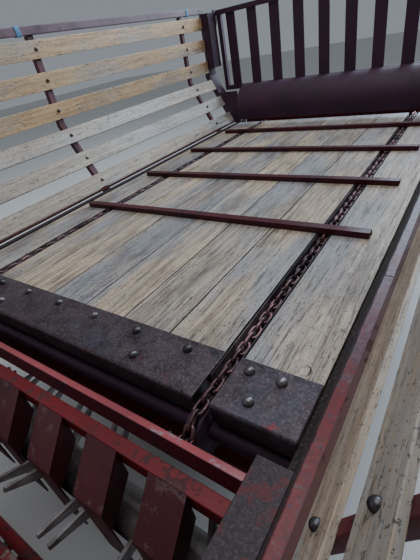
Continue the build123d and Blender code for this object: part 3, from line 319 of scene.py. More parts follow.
def worn_rail(name, inner, top):
    """Side rail: red in front, mauve rearwards with a painted pale blue sky reflection on its top towards
    the rear, its inner edge black with grease and chaff.
    """
    bright_red, dull_red = (0.150, 0.0040, 0.0080), (0.085, 0.010, 0.016)
    pale_mauve, dull_mauve = (0.112, 0.052, 0.070), (0.070, 0.024, 0.038)
    painted_sky_sheen, scuffed, spotted = (0.190, 0.235, 0.320), (0.090, 0.060, 0.066), (0.040, 0.036, 0.058)
    greasy, other_side_dark = (0.016, 0.011, 0.012), (0.020, 0.012, 0.014)
    material, tree, shader = start_material(name)
    plain = object_coords(tree)
    across = part_of(tree, plain, "X")
    along = part_of(tree, plain, "Y")
    patch = noise(tree, plain, 9.0, 8.0, 0.70, 0.6)
    small = noise(tree, plain, 60.0, 6.0, 0.74)
    reach = added(tree, along, scaled(tree, less(tree, patch, 0.5), 2.6))
    red = mix(tree, ramp(tree, small, 0.45, 0.60), bright_red, dull_red)
    mauve = mix(tree, ramp(tree, small, 0.42, 0.62), pale_mauve, dull_mauve)
    colour = mix(tree, ramp(tree, reach, -0.35, 0.25), red, mauve)
    # painted sky reflection: pale blue laid on the top faces, growing towards the rear
    on_top = ramp(tree, part_of(tree, plain, "Z"), top - 0.006, top - 0.002)
    sheen_rearwards = scaled(tree, ramp(tree, reach, 0.2, 2.0), on_top)
    colour = lay_over(tree, colour, sheen_rearwards, 0.62, painted_sky_sheen)
    scuff = ramp(tree, noise(tree, plain, 24.0, 8.0, 0.75), 0.57, 0.63)
    colour = lay_over(tree, colour, scuff, 0.75, scuffed)
    distance = less(tree, maths(tree, "ABSOLUTE", across), inner)
    ragged = less(tree, distance, scaled(tree, patch, 0.012))
    grease = ramp(tree, ragged, -0.001, 0.005, reverse=True)
    colour = lay_over(tree, colour, grease, 0.93, greasy)
    # the whole rail on the -X side is darkened nearly to black and made duller
    other_rail = ramp(tree, across, -0.1, 0.1, reverse=True)
    colour = lay_over(tree, colour, other_rail, 0.90, other_side_dark)
    spots = ramp(tree, noise(tree, plain, 38.0, 8.0, 0.78), 0.555, 0.60)
    colour = lay_over(tree, colour, spots, 0.7, spotted)
    dulled = maths(tree, "MAXIMUM", scaled(tree, grease, 0.45), scaled(tree, other_rail, 0.50))
    set_skin(tree, shader, colour, added(tree, added(tree, scaled(tree, small, 0.26), 0.22), dulled))
    shader.inputs["Specular IOR Level"].default_value = 0.30
    lumps = scaled(tree, grease, noise(tree, plain, 140.0, 3.0, 0.6))
    add_bump(tree, shader, added(tree, small, scaled(tree, lumps, 2.5)), 0.45, 0.0010)
    return material


def plate_skin(name, light, red_from):
    """Dark brown-grey plate, rubbed along the travel of the load, with flecks of old red paint and bluish
    patches of painted sheen.
    """
    material, tree, shader = start_material(name)
    plain = object_coords(tree)
    drawn = object_coords(tree, (1.0, 0.12, 1.0))
    cloud = noise(tree, plain, 13.0, 9.0, 0.72, 0.7)
    speck = noise(tree, plain, 130.0, 5.0, 0.75)
    scratch = ramp(tree, noise(tree, drawn, 210.0, 3.0, 0.7), 0.64, 0.72)
    full = {
        "base": (0.032, 0.017, 0.026), "rubbed": (0.098, 0.066, 0.080), "speck": (0.200, 0.165, 0.185),
        "bluish_sheen": (0.085, 0.092, 0.130), "red": (0.230, 0.026, 0.042), "scratch": (0.300, 0.275, 0.270),
    }
    tones = {tone: tuple(light * part for part in value) for tone, value in full.items()}
    colour = mix(tree, ramp(tree, cloud, 0.36, 0.64), tones["base"], tones["rubbed"])
    colour = lay_over(tree, colour, ramp(tree, speck, 0.49, 0.61), 0.58, tones["speck"])
    # painted sheen: bluish patches laid on at random as a reflection of the sky
    bluish_sheen = ramp(tree, noise(tree, plain, 5.0, 5.0, 0.6), 0.52, 0.68)
    colour = lay_over(tree, colour, bluish_sheen, 0.45, tones["bluish_sheen"])
    red = ramp(tree, noise(tree, plain, 17.0, 8.0, 0.78), red_from, red_from + 0.035)
    colour = lay_over(tree, colour, red, 0.85, tones["red"])
    colour = lay_over(tree, colour, scratch, 0.55, tones["scratch"])
    set_skin(tree, shader, colour, added(tree, scaled(tree, cloud, 0.35), 0.32))
    shader.inputs["Metallic"].default_value = 0.45
    add_bump(tree, shader, added(tree, speck, cloud), 0.35, 0.0009)
    return material


def rubbed_edge(name, paint, rubbed, share):
    """Edge of a painted piece: the paint is rubbed off along stretches of it."""
    material, tree, shader = start_material(name)
    plain = object_coords(tree)
    edge = 0.62 - 0.3 * share
    bare = ramp(tree, noise(tree, plain, 13.0, 7.0, 0.75), edge, edge + 0.06)
    dull = tuple(0.55 * part for part in rubbed)
    tone = mix(tree, ramp(tree, noise(tree, plain, 55.0, 4.0), 0.35, 0.65), rubbed, dull)
    set_skin(tree, shader, mix(tree, bare, paint, tone), 0.40)
    shader.inputs["Metallic"].default_value = 0.35
    return material


def bare_steel(name, bright, dark, rough, metallic, speckle):
    """Steel rubbed by the crop: dark skin, bright where it is polished, with pits."""
    material, tree, shader = start_material(name)
    plain = object_coords(tree)
    cloud = noise(tree, plain, 9.0, 8.0, 0.65, 0.5)
    pits = noise(tree, plain, speckle, 5.0, 0.75)
    colour = mix(tree, ramp(tree, cloud, 0.38, 0.70), dark, bright)
    colour = lay_over(tree, colour, ramp(tree, pits, 0.58, 0.72), 0.7, (0.06, 0.035, 0.03))
    set_skin(tree, shader, colour, added(tree, scaled(tree, pits, 0.35), rough))
    shader.inputs["Metallic"].default_value = metallic
    add_bump(tree, shader, pits, 0.3, 0.0007)
    return material


def twine(name):
    """Blue plastic twine, frayed and faded."""
    material, tree, shader = start_material(name)
    plain = object_coords(tree)
    fibre = noise(tree, plain, 420.0, 3.0, 0.6)
    set_skin(tree, shader, mix(tree, fibre, (0.05, 0.19, 0.36), (0.17, 0.38, 0.55)), 0.55)
    add_bump(tree, shader, fibre, 0.6, 0.0010)
    return material


def packed_dirt(name):
    """Chaff and dirt trodden into a gap."""
    material, tree, shader = start_material(name)
    plain = object_coords(tree)
    lump = noise(tree, plain, 160.0, 4.0, 0.7)
    colour = mix(tree, ramp(tree, lump, 0.50, 0.72), (0.013, 0.009, 0.009), (0.090, 0.064, 0.052))
    set_skin(tree, shader, colour, 0.95)
    add_bump(tree, shader, lump, 0.8, 0.0020)
    return material


def rubber(name):
    """Dusty tyre rubber."""
    material, tree, shader = start_material(name)
    plain = object_coords(tree)
    dust = ramp(tree, noise(tree, plain, 12.0, 7.0, 0.7), 0.42, 0.72)
    set_skin(tree, shader, mix(tree, dust, (0.018, 0.018, 0.019), (0.10, 0.085, 0.07)), 0.78)
    add_bump(tree, shader, noise(tree, plain, 120.0, 4.0, 0.7), 0.25, 0.0008)
    return material


def lamp_lens(name):
    """Red lamp lens with fine ribs."""
    material, tree, shader = start_material(name)
    plain = object_coords(tree)
    dust = ramp(tree, noise(tree, plain, 20.0, 5.0), 0.45, 0.8)
    set_skin(tree, shader, mix(tree, dust, (0.42, 0.012, 0.01), (0.20, 0.03, 0.025)), 0.18)
    shader.inputs["Coat Weight"].default_value = 0.4
    ribs = tree.nodes.new("ShaderNodeTexWave")
    ribs.inputs["Scale"].default_value = 40.0
    tree.links.new(plain, ribs.inputs["Vector"])
    add_bump(tree, shader, ribs.outputs["Fac"], 0.3, 0.001)
    return material


# Painted slots; rows are slot: (paint, worn through, rust, wear, roughness, rubbed edge, share rubbed)
paints = {
    "frame_paint": (
        (0.175, 0.011, 0.017), (0.060, 0.022, 0.026), (0.095, 0.036, 0.026), 0.50, 0.52,
        (0.21, 0.075, 0.078), 0.50),
    "rail_paint": (
        (0.150, 0.088, 0.112), (0.095, 0.050, 0.064), (0.10, 0.045, 0.035), 0.35, 0.46,
        (0.24, 0.175, 0.20), 0.45),
    "dark_paint": (
        (0.056, 0.0032, 0.011), (0.024, 0.005, 0.009), (0.030, 0.008, 0.009), 0.45, 0.44,
        (0.150, 0.062, 0.078), 0.55),
    "gate_paint": (
        (0.044, 0.013, 0.034), (0.046, 0.022, 0.040), (0.044, 0.019, 0.022), 0.22, 0.60,
        (0.080, 0.042, 0.066), 0.35),
    "rim_paint": (
        (0.50, 0.46, 0.38), (0.22, 0.16, 0.12), (0.17, 0.07, 0.03), 0.40, 0.50,
        (0.22, 0.14, 0.09), 0.45),
    "cast_iron": (
        (0.120, 0.014, 0.017), (0.045, 0.030, 0.028), (0.08, 0.04, 0.03), 0.50, 0.52,
        (0.16, 0.10, 0.10), 0.45),
    "band_steel": (
        (0.21, 0.016, 0.020), (0.17, 0.13, 0.12), (0.11, 0.05, 0.035), 0.58, 0.46,
        (0.34, 0.28, 0.27), 0.70),
    "spring_steel": (
        (0.018, 0.016, 0.018), (0.050, 0.040, 0.036), (0.08, 0.04, 0.03), 0.35, 0.50,
        (0.10, 0.07, 0.055), 0.40),
}
# Single pieces with a paint of their own; rows are finish: (paint, worn through, rust, wear, roughness)
own_paints = {
    "upright": ((0.085, 0.010, 0.018), (0.036, 0.016, 0.020), (0.060, 0.026, 0.024), 0.45, 0.50),
    # lighter paint of the front slat's upturned face: partly cleaner paint, partly painted light
    "cleaner_lit_slat_top": ((0.30, 0.066, 0.072), (0.26, 0.160, 0.185), (0.15, 0.04, 0.045), 0.38, 0.36),
    "red_plate": ((0.105, 0.030, 0.037), (0.150, 0.080, 0.090), (0.052, 0.026, 0.032), 0.46, 0.55),
    "rust_lip": ((0.070, 0.020, 0.016), (0.040, 0.016, 0.017), (0.050, 0.022, 0.015), 0.4, 0.62),
}
# Bare steels; rows are slot: (bright, dark, roughness, metal, speckle size)
steels = {
    "worn_plate": ((0.135, 0.098, 0.100), (0.034, 0.023, 0.026), 0.34, 0.45, 42.0),
    "chain_steel": ((0.30, 0.165, 0.175), (0.030, 0.014, 0.018), 0.27, 0.72, 75.0),
    "tine_steel": ((0.30, 0.28, 0.28), (0.12, 0.10, 0.10), 0.36, 0.60, 60.0),
    "bare_steel": ((0.36, 0.33, 0.31), (0.14, 0.10, 0.08), 0.32, 0.80, 60.0),
}


def add_finishes():
    """One material for each slot or single piece, and one for the rubbed edges of each steel slot."""
    finishes = {
        "planks": wood("planks", (0.68, 0.535, 0.375), (0.280, 0.210, 0.145), (0.42, 0.380, 0.345),
                       (0.150, 0.128, 0.112), 0.48, 0.66, (0.185, 0.250, 0.335), floor_high.z),
        "boards": wood("boards", (0.70, 0.455, 0.220), (0.40, 0.240, 0.105), (0.39, 0.365, 0.325),
                       (0.20, 0.180, 0.155), 0.22, 0.30, (0.27, 0.31, 0.34)),
        "rail": worn_rail("rail", rail_inner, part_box("side_channels")[1].z),
        "plate": plate_skin("plate", 0.62, 0.600),
        # the cheeks take the plate skin at under half its lightness: painted shade of the feed channel
        "shaded_cheek": plate_skin("shaded_cheek", 0.27, 0.525),
        "bolt": bare_steel("bolt", (0.21, 0.20, 0.21), (0.055, 0.050, 0.055), 0.20, 0.85, 90.0),
        "trough_edge": rubbed_edge("trough_edge", (0.20, 0.17, 0.16), (0.34, 0.30, 0.28), 0.8),
        "twine": twine("twine"),
        "dirt": packed_dirt("dirt"),
        "tyre": rubber("tyre"),
        "lamp": lamp_lens("lamp"),
    }
    edges = {"tyre": None, "lamp": None}  # rubber and lenses have no rubbed edges
    for name, row in own_paints.items():
        finishes[name] = painted_steel(name, *row)
    for slot, (paint, worn, rust, wear, rough, rubbed, share) in paints.items():
        finishes[slot] = painted_steel(slot, paint, worn, rust, wear, rough)
        edges[slot] = rubbed_edge(slot + "_edge", tuple(0.8 * part for part in paint), rubbed, share)
    for slot, (bright, dark, rough, metal, speckle) in steels.items():
        finishes[slot] = bare_steel(slot, bright, dark, rough, metal, speckle)
        edges[slot] = rubbed_edge(slot + "_edge", dark, tuple(1.3 * part for part in bright), 0.6)
    return finishes, edges


# Meshes made from primitives
def deselect():
    bpy.ops.object.select_all(action="DESELECT")


def take(piece):
    """Make a piece the only selected and the active one."""
    deselect()
    piece.select_set(True)
    bpy.context.view_layer.objects.active = piece


def settle(piece):
    """Put a piece's place into its mesh, so its object sits at the origin."""
    take(piece)
    bpy.ops.object.transform_apply(location=True, rotation=True, scale=True)
    return piece


def block_at(middle, size):
    """Block of a size round its middle."""
    deselect()
    bpy.ops.mesh.primitive_cube_add(size=1, location=middle, scale=size)
    return settle(bpy.context.object)


def ring_of_wire(radius, wire_r, around, across, middle=(0, 0, 0), turn=(0, 0, 0)):
    """Ring of round wire."""
    deselect()
    bpy.ops.mesh.primitive_torus_add(major_radius=radius, minor_radius=wire_r, major_segments=around,
                                     minor_segments=across, location=middle, rotation=turn)
    return settle(bpy.context.object)


def bevelled(piece, width, segments=2, angle=30.0, edge_slot=-1):
    """Round the sharp edges of a piece; the rounded strips may take a material slot of their own."""
    modifier = piece.modifiers.new("edges", "BEVEL")
    modifier.width = width
    modifier.segments = segments
    modifier.limit_method = "ANGLE"
    modifier.angle_limit = radians(angle)
    modifier.material = edge_slot
    take(piece)
    bpy.ops.object.modifier_apply(modifier=modifier.name)
    return piece


def joined(pieces, name):
    """Join pieces into one named object."""
    deselect()
    for piece in pieces:
        piece.select_set(True)
    bpy.context.view_layer.objects.active = pieces[0]
    bpy.ops.object.join()
    whole = bpy.context.view_layer.objects.active
    whole.name = name
    whole.data.name = name
    return whole


def edit_all():
    """Open the active piece's mesh with all of it selected."""
    bpy.ops.object.mode_set(mode="EDIT")
    bpy.ops.mesh.select_all(action="SELECT")


def leave_edit():
    bpy.ops.object.mode_set(mode="OBJECT")


def copy_at(piece, matrix):
    """Copy of a piece with its own mesh, moved by a matrix."""
    twin = piece.copy()
    twin.data = piece.data.copy()
    twin.data.transform(matrix)
    bpy.context.scene.collection.objects.link(twin)
    return twin


def merged_copy(node_name, name):
    """Copy of a CAD node with its loose triangles merged into whole faces."""
    piece = nodes[node_name].copy()
    piece.data = nodes[node_name].data.copy()
    piece.name = name
    piece.data.name = name
    bpy.context.scene.collection.objects.link(piece)
    take(piece)
    edit_all()
    bpy.ops.mesh.remove_doubles(threshold=0.00002)
    bpy.ops.mesh.dissolve_limited(angle_limit=radians(1.0))
    leave_edit()
    return piece


def cut_across(piece, axis, spacing):
    """Cut a piece across an axis at even steps, ready to be bowed."""
    low = min(vertex.co[axis] for vertex in piece.data.vertices)
    high = max(vertex.co[axis] for vertex in piece.data.vertices)
    cuts = int((high - low) / spacing)
    normal = [0.0, 0.0, 0.0]
    normal[axis] = 1.0
    take(piece)
    edit_all()
    for cut in range(1, cuts):
        place = [0.0, 0.0, 0.0]
        place[axis] = low + (high - low) * cut / cuts
        bpy.ops.mesh.select_all(action="SELECT")
        bpy.ops.mesh.bisect(plane_co=place, plane_no=normal)
    leave_edit()
    return piece


def loose_parts(piece):
    """Split a piece into its separate solids, in order of their places."""
    take(piece)
    edit_all()
    bpy.ops.mesh.separate(type="LOOSE")
    leave_edit()

    def place(part):
        return tuple(round(sum(corner[axis] for corner in part.bound_box), 3) for axis in (0, 1, 2))

    return sorted(bpy.context.selected_objects, key=place)


def set_value(piece, name, value):
    """Give every point of a piece the same named value."""
    layer = piece.data.attributes.new(name, "FLOAT", "POINT")
    for point in layer.data:
        point.value = value


def finish_piece(piece, material, body, smooth=35.0, edge=None):
    """Give a piece its materials, shading and body."""
    piece.data.materials.clear()
    piece.data.materials.append(material)
    if edge:
        piece.data.materials.append(edge)
    take(piece)
    bpy.ops.object.shade_smooth_by_angle(angle=radians(smooth))
    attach(piece, body)
    return piece


finishes, edges = add_finishes()
slot_of = {subpart["node"]: subpart["material_slot"] for subpart in frame["record"]["subparts"]}
body_of = {
    node_name: body
    for body, names in frame["record"]["behaviour"]["bodies"].items()
    for node_name in names
}
# Nodes with a finish of their own instead of their slot's
own_finish = {
    "side_channels": "rail", "floor_front_plate": "plate", "channel_cheeks": "shaded_cheek",
    "side_frame_left": "upright", "side_frame_right": "upright", "stripper_plates": "red_plate",
}


# Steel pieces whose shape stays as in the frame, with their edges rounded and rubbed
def soften(node_name, width):
    """Rounded copy of a steel node; the rounded strips take the slot's worn edge finish."""
    piece = merged_copy(node_name, node_name + "_rounded")
    if node_name == "stripper_plates":
        hang_under_beam(piece)
    bevelled(piece, width, 2, 30.0, 1)
    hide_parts(node_name)
    slot = slot_of[node_name]
    main = finishes[own_finish.get(node_name, slot)]
    return finish_piece(piece, main, body_of[node_name], 24.0, edges[slot])


def paint_where(piece, material, test):
    """Give the faces that pass a test of their middle and normal another material."""
    piece.data.materials.append(material)
    index = len(piece.data.materials) - 1
    for face in piece.data.polygons:
        if test(face.center, face.normal):
            face.material_index = index


def hang_under_beam(plates):
    """Cut the plates at the beam's front face and let them hang from its lower edge."""
    beam_low, beam_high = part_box("stripper_beam")
    clear, overlap, near = 0.0006, 0.006, 0.002
    take(plates)
    edit_all()
    bpy.ops.mesh.bisect(plane_co=(0, beam_low.y - clear, 0), plane_no=(0, 1, 0), clear_outer=True,
                        use_fill=True)
    leave_edit()
    drop = beam_high.z - beam_low.z - overlap
    for vertex in plates.data.vertices:
        if vertex.co.y > beam_low.y - near and vertex.co.z > beam_low.z - near:
            vertex.co.z -= drop


def add_steelwork():
    """Rounded edges for all the plain steel pieces; rows are (node, edge radius)."""
    for node_name, width in (
        ("side_channels", 0.0030), ("front_wall_frame", 0.0015), ("cross_members", 0.0030),
        ("side_frame_left", 0.0030), ("side_frame_right", 0.0030), ("top_rail_left", 0.0045),
        ("top_rail_right", 0.0045), ("tailgate_frame", 0.0015), ("rear_posts", 0.0018),
        ("tailgate_sheet", 0.0010), ("channel_cheeks", 0.0012), ("stripper_plates", 0.0015),
        ("stripper_beam", 0.0025), ("floor_front_plate", 0.0022), ("chain_troughs", 0.0010),
        ("drawbar", 0.0040), ("chassis_beams", 0.0040), ("outrigger_tubes", 0.0030),
        ("outrigger_posts", 0.0020), ("axle_beam", 0.0030), ("leaf_springs", 0.0012),
        ("spring_hangers", 0.0015), ("gearbox", 0.0060), ("drive_guard", 0.0040),
        ("crop_guard", 0.0010), ("guide_sheet", 0.0008), ("pickup_sides", 0.0012),
        ("pickup_ties", 0.0025), ("pickup_bands", 0.0008), ("feeder_rotor", 0.0012),
        ("feeder_stubs", 0.0010), ("jack_housing", 0.0012), ("jack_leg", 0.0012),
        ("tow_eye", 0.0040), ("tail_lamps", 0.0030), ("shaft_bearings", 0.0025),
        ("scraper_drive", 0.0010), ("rim_left", 0.0015), ("rim_right", 0.0015),
        ("front_idlers", 0.0010), ("rear_drive_shaft", 0.0010), ("cross_shaft", 0.0010),
        ("pickup_reel", 0.0008),
    ):
        soften(node_name, width)
    idlers = bpy.data.objects["front_idlers_rounded"]
    idlers.data.materials[0] = finishes["gate_paint"]
    idlers.data.materials[1] = finishes["gate_paint"]
    troughs = bpy.data.objects["chain_troughs_rounded"]
    troughs.data.materials[1] = finishes["trough_edge"]
    # painted shade: the plates' side faces and undersides take the dark paint
    plates = bpy.data.objects["stripper_plates_rounded"]
    paint_where(plates, finishes["dark_paint"],
                lambda middle, normal: abs(normal.x) > 0.5 or normal.z < -0.2)


# Planks and boards: each cut across, bowed a little and shaded by itself
def weathered(node_name, spacing, bow, edge_radius, shades, seed, name):
    """Wooden node made of real boards: no two bowed or coloured alike."""
    draw = random.Random(seed)
    long_wave, short_wave = 2.3, 4.7
    parts = loose_parts(merged_copy(node_name, name))
    for number, part in enumerate(parts):
        cut_across(part, 1, spacing)
        phase = draw.uniform(0, 6)
        lift = draw.uniform(0.4, 1.0) * bow
        for vertex in part.data.vertices:
            vertex.co.z -= 0.5 * lift * (1 + sin(long_wave * vertex.co.y + phase))
            vertex.co.x += 0.25 * lift * sin(short_wave * vertex.co.y + phase)
        bevelled(part, edge_radius, 2, 40.0)
        set_value(part, "shade", shades[number % len(shades)])
    boards = joined(parts, name)
    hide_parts(node_name)
    slot = slot_of[node_name]
    return finish_piece(boards, finishes[slot], body_of[node_name], 24.0)


def add_woodwork():
    """Bed planks and the six boards of each side."""
    plank_shades = (0.52, 0.38, 0.12, 0.98, 0.20, 0.80, 0.34, 0.58)
    golden, grey = (0.12, 0.24, 0.18), (0.86, 0.98, 0.92)
    weathered("floor_planks", 0.16, 0.0006, 0.0030, plank_shades, 3, "plank_floor")
    weathered("side_boards_left", 0.20, 0.0030, 0.0020, grey + golden, 5, "boards_left")
    weathered("side_boards_right", 0.20, 0.0030, 0.0020, golden + grey, 8, "boards_right")


def add_gap_dirt():
    """Dirt in the gaps between the planks and along the side rails, and rusty lips outside the rails."""
    gap_half = 0.0019
    ledge = (outer_plank[1] + rail_inner) / 2
    ledge_half = (rail_inner - outer_plank[1]) / 2 - 0.0005
    lip, lip_half = 0.9245, 0.0075
    gap_front = floor_low.y + 0.002
    ledge_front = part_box("channel_cheeks")[1].y + 0.001
    lip_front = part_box("side_boards_left")[0].y + 0.005
    rear = floor_high.y - 0.002
    depth, step, uneven = 0.012, 0.03, 0.003
    rail_side = (rail_inner + lip) / 2
    spans = [(number * plank_pitch, gap_half, -0.014, gap_front) for number in range(-2, 3)]
    spans += [(side * ledge, ledge_half, -0.012, ledge_front) for side in (-1, 1)]
    spans += [(side * lip, lip_half, 0.017, lip_front) for side in (-1, 1)]
    draw = random.Random(21)
    strips = []
    for middle, half, rise, front in spans:
        top = floor_high.z + rise
        strip = block_at((middle, (front + rear) / 2, top - depth / 2), (2 * half, rear - front, depth))
        cut_across(strip, 1, step)
        for vertex in strip.data.vertices:
            if vertex.co.z > top - 0.001 and abs(middle) < lip:
                vertex.co.z += draw.uniform(-uneven, uneven)
        strips.append(strip)
    packed = finish_piece(joined(strips, "gap_dirt"), finishes["dirt"], "wagon")
    paint_where(packed, finishes["rust_lip"], lambda middle, normal: abs(middle.x) > rail_side)


# Scraper: bowed slats and round-link chains
def add_slats():
    """Slats of folded steel, each a little bent from use, with rubbed edges; the front slat's face turned
    up and rearwards takes a lighter paint, partly cleaner and partly painted light.
    """
    draw = random.Random(11)
    half_slat, ripple, ripple_wave = 0.79, 0.0005, 9.0
    parts = loose_parts(merged_copy("scraper_slats", "bent_slats"))
    for part in parts:
        cut_across(part, 0, 0.10)
        phase = draw.uniform(0, 6)
        bend = draw.uniform(0.0008, 0.0030)
        for vertex in part.data.vertices:
            reach = (vertex.co.x / half_slat) ** 2
            vertex.co.y += bend * (reach - 0.4) * cos(phase)
            vertex.co.z += ripple * sin(ripple_wave * vertex.co.x + phase)
        bevelled(part, 0.0016, 2, 40.0, 1)
    slats = joined(parts, "bent_slats")
    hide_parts("scraper_slats")
    finish_piece(slats, finishes["dark_paint"], "wagon", 24.0, edges["dark_paint"])
    # painted light, partly cleaner paint: the front slat's face turned up and rearwards takes the lighter
    # paint
    front_slat = loop_front + 0.02

    def lit_face_of_front_slat(middle, normal):
        return middle.y < front_slat and middle.z > loop_z and normal.y > 0.3 and normal.z > 0.8

    paint_where(slats, finishes["cleaner_lit_slat_top"], lit_face_of_front_slat)


def loop_place(run):
    """Point (y, z) and heading of the chain's middle line, a run on from the front of its top stretch."""
    straight = loop_rear - loop_front
    arc = pi * turn_r
    run = run % (2 * straight + 2 * arc)
    if run < straight:
        return loop_front + run, loop_z + turn_r, 0.0
    run -= straight
    if run < arc:
        angle = run / turn_r
        return loop_rear + turn_r * sin(angle), loop_z + turn_r * cos(angle), -angle
    run -= arc
    if run < straight:
        return loop_rear - run, loop_z - turn_r, -pi
    angle = (run - straight) / turn_r
    return loop_front - turn_r * sin(angle), loop_z - turn_r * cos(angle), -pi - angle


def add_chains():
    """Round-link chain: one stretched ring, copied round the loop, every second one on edge."""
    link = ring_of_wire((link_width - link_wire) / 2, link_wire / 2, 16, 8)
    slack_roll = 10
    loop_length = 2 * (loop_rear - loop_front) + 2 * pi * turn_r
    pitch = loop_length / links_round
    stretch = (pitch + 2 * link_wire - link_width) / 2
    for vertex in link.data.vertices:
        if abs(vertex.co.y) > 1e-5:
            vertex.co.y += stretch if vertex.co.y > 0 else -stretch
    draw = random.Random(7)
    copies = []
    for side in (-1, 1):
        for number in range(links_round):
            y, z, heading = loop_place(number * pitch)
            roll = (pi / 2 if number % 2 else 0.0) + radians(draw.uniform(-slack_roll, slack_roll))
            turn = Matrix.Rotation(heading, 4, "X") @ Matrix.Rotation(roll, 4, "Y")
            copies.append(copy_at(link, Matrix.Translation((side * chain_x, y, z)) @ turn))
    bpy.data.objects.remove(link)
    chains = joined(copies, "round_link_chains")
    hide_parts("scraper_chains")
    finish_piece(chains, finishes["chain_steel"], "wagon", 60)


# Fasteners
def dome(radius, height):
    """Rounded bolt head at the origin, its flat side down."""
    deselect()
    bpy.ops.mesh.primitive_uv_sphere_add(segments=20, ring_count=12, radius=radius)
    head = bpy.context.object
    edit_all()
    bpy.ops.mesh.bisect(plane_co=(0, 0, 0), plane_no=(0, 0, 1), clear_inner=True, use_fill=True)
    bpy.ops.transform.resize(value=(1, 1, height / radius), center_override=(0, 0, 0))
    leave_edit()
    return settle(head)


def hex_bolt(width, height):
    """Hexagon head on a washer at the origin."""
    washer_depth, head_start = 0.002, 0.0015
    deselect()
    bpy.ops.mesh.primitive_cylinder_add(vertices=6, radius=width / 2 / cos(pi / 6), depth=height,
                                        location=(0, 0, height / 2 + head_start))
    head = settle(bpy.context.object)
    bevelled(head, 0.0012, 2)
    deselect()
    bpy.ops.mesh.primitive_cylinder_add(vertices=20, radius=0.85 * width, depth=washer_depth,
                                        location=(0, 0, washer_depth / 2))
    washer = settle(bpy.context.object)
    return joined([head, washer], "hex_bolt")


def fasten(head, places, name, body, smooth=40.0):
    """Copies of a head on its places; rows are (point, outward direction)."""
    draw = random.Random(len(places))
    copies = []
    for point, way in places:
        turn = Vector(way).to_track_quat("Z", "Y").to_matrix().to_4x4()
        spin = Matrix.Rotation(draw.uniform(0, 6), 4, "Z")
        copies.append(copy_at(head, Matrix.Translation(point) @ turn @ spin))
    bpy.data.objects.remove(head)
    return finish_piece(joined(copies, name), finishes["bolt"], body, smooth)


# The wall's inner face, as (x, z): it leans out from foot to knee and then stands upright
wall_foot = (0.920, 1.000)
wall_knee = (1.143, 1.420)
lower_boards = (0.024, 0.187, 0.350)  # lower edges, measured up the lean from the foot
upper_boards = (1.451, 1.620, 1.782)  # lower edges, as heights
board_h = 0.093
upright_stations = (-0.520, 0.765, 2.205)


def wall_bolts():
    """Inner face points of the wall where a board crosses an upright; rows are (point, direction)."""
    lean = Vector((wall_knee[0] - wall_foot[0], wall_knee[1] - wall_foot[1]))
    lean.normalize()
    sunk = 0.0012
    places = []
    for side in (-1, 1):
        for y in upright_stations:
            for start in lower_boards:
                run = start + board_h / 2
                point = (side * (wall_foot[0] + lean.x * run + sunk * lean.y), y,
                         wall_foot[1] + lean.y * run - sunk * lean.x)
                places.append((point, (-side * lean.y, 0, lean.x)))
            for low in upper_boards:
                places.append(((side * (wall_knee[0] + sunk), y, low + board_h / 2), (-side, 0, 0)))
    return places


def add_fasteners():
    """Domed bolts of the front plate, carriage bolts of the boards and nuts on the outside."""
    plate_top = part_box("floor_front_plate")[1].z
    rear_row, front_row = -0.251, -0.333
    spots = [((number + 0.5) * plank_pitch, rear_row) for number in range(-3, 3)]
    spots += [(side * 0.360, front_row) for side in (-1, 1)]
    for side in (-1, 1):
        spots += [(side * 0.689, rear_row), (side * 0.775, rear_row), (side * 0.729, front_row)]
    places = [((x, y, plate_top), (0, 0, 1)) for x, y in spots]
    fasten(dome(0.0145, 0.0085), places, "plate_bolts", "wagon", 60)
    fasten(dome(0.0115, 0.0070), wall_bolts(), "board_bolts", "wagon", 60)
    channel_face, post_face, beam_face, gearbox_face = 0.9441, 0.9161, -1.1151, -1.2901
    nuts = []
    for side in (-1, 1):
        outward = (side, 0, 0)
        nuts += [((side * channel_face, y, z), outward) for y in upright_stations for z in (0.915, 0.945)]
        nuts += [((side * 0.615, beam_face, z), (0, -1, 0)) for z in (0.870, 0.955)]
        nuts += [((side * post_face, y, z), outward) for y, z in ((2.627, 0.900), (2.637, 0.965))]
    nuts += [((x, gearbox_face, z), (0, -1, 0)) for x in (-0.065, 0.065) for z in (0.775, 0.865)]
    fasten(hex_bolt(0.019, 0.010), nuts, "frame_bolts", "wagon")


# Wheels
def lathe(name, rows, sides, centre):
    """Hollow form round an axle along X, pushed out row by row; rows are (offset, radius)."""
    deselect()
    x, y, z = centre
    last_x, last_r = rows[0]
    bpy.ops.mesh.primitive_circle_add(vertices=sides, radius=last_r, fill_type="NGON",
                                      location=(x + last_x, y, z), rotation=(0, pi / 2, 0))
    piece = settle(bpy.context.object)
    piece.name = name
    edit_all()
    for row_x, row_r in rows[1:]:
        bpy.ops.mesh.extrude_region_move(TRANSFORM_OT_translate={"value": (row_x - last_x, 0, 0)})
        scale = row_r / last_r
        bpy.ops.transform.resize(value=(1, scale, scale), center_override=(x + row_x, y, z))
        last_x, last_r = row_x, row_r
    leave_edit()
    for face in piece.data.polygons:
        face.select = len(face.vertices) == sides
    bpy.ops.object.mode_set(mode="EDIT")
    bpy.ops.mesh.select_mode(type="FACE")
    bpy.ops.mesh.bridge_edge_loops()
    bpy.ops.mesh.select_all(action="SELECT")
    bpy.ops.mesh.remove_doubles(threshold=0.00002)
    bpy.ops.mesh.normals_make_consistent(inside=False)
    leave_edit()
    return piece


# Tyre section from bead to crown; rows are (offset from the middle, radius)
tyre_half_rows = (
    (0.107, 0.2006), (0.107, 0.2165), (0.119, 0.227), (0.1275, 0.246), (0.1298, 0.272),
    (0.1285, 0.300), (0.122, 0.328), (0.108, 0.3485), (0.088, 0.3595), (0.045, 0.3625),
)
# Tread; rows are (offset, radius to the block's middle, tilt, length across, length round, shift)
tread_rows = (
    (0.0, 0.3650, 0.0, 0.034, 0.046, 0.0),
    (0.045, 0.3645, 2.0, 0.040, 0.040, 0.5),
    (0.089, 0.3590, 14.0, 0.040, 0.034, 0.0),
)
tread_blocks = 42


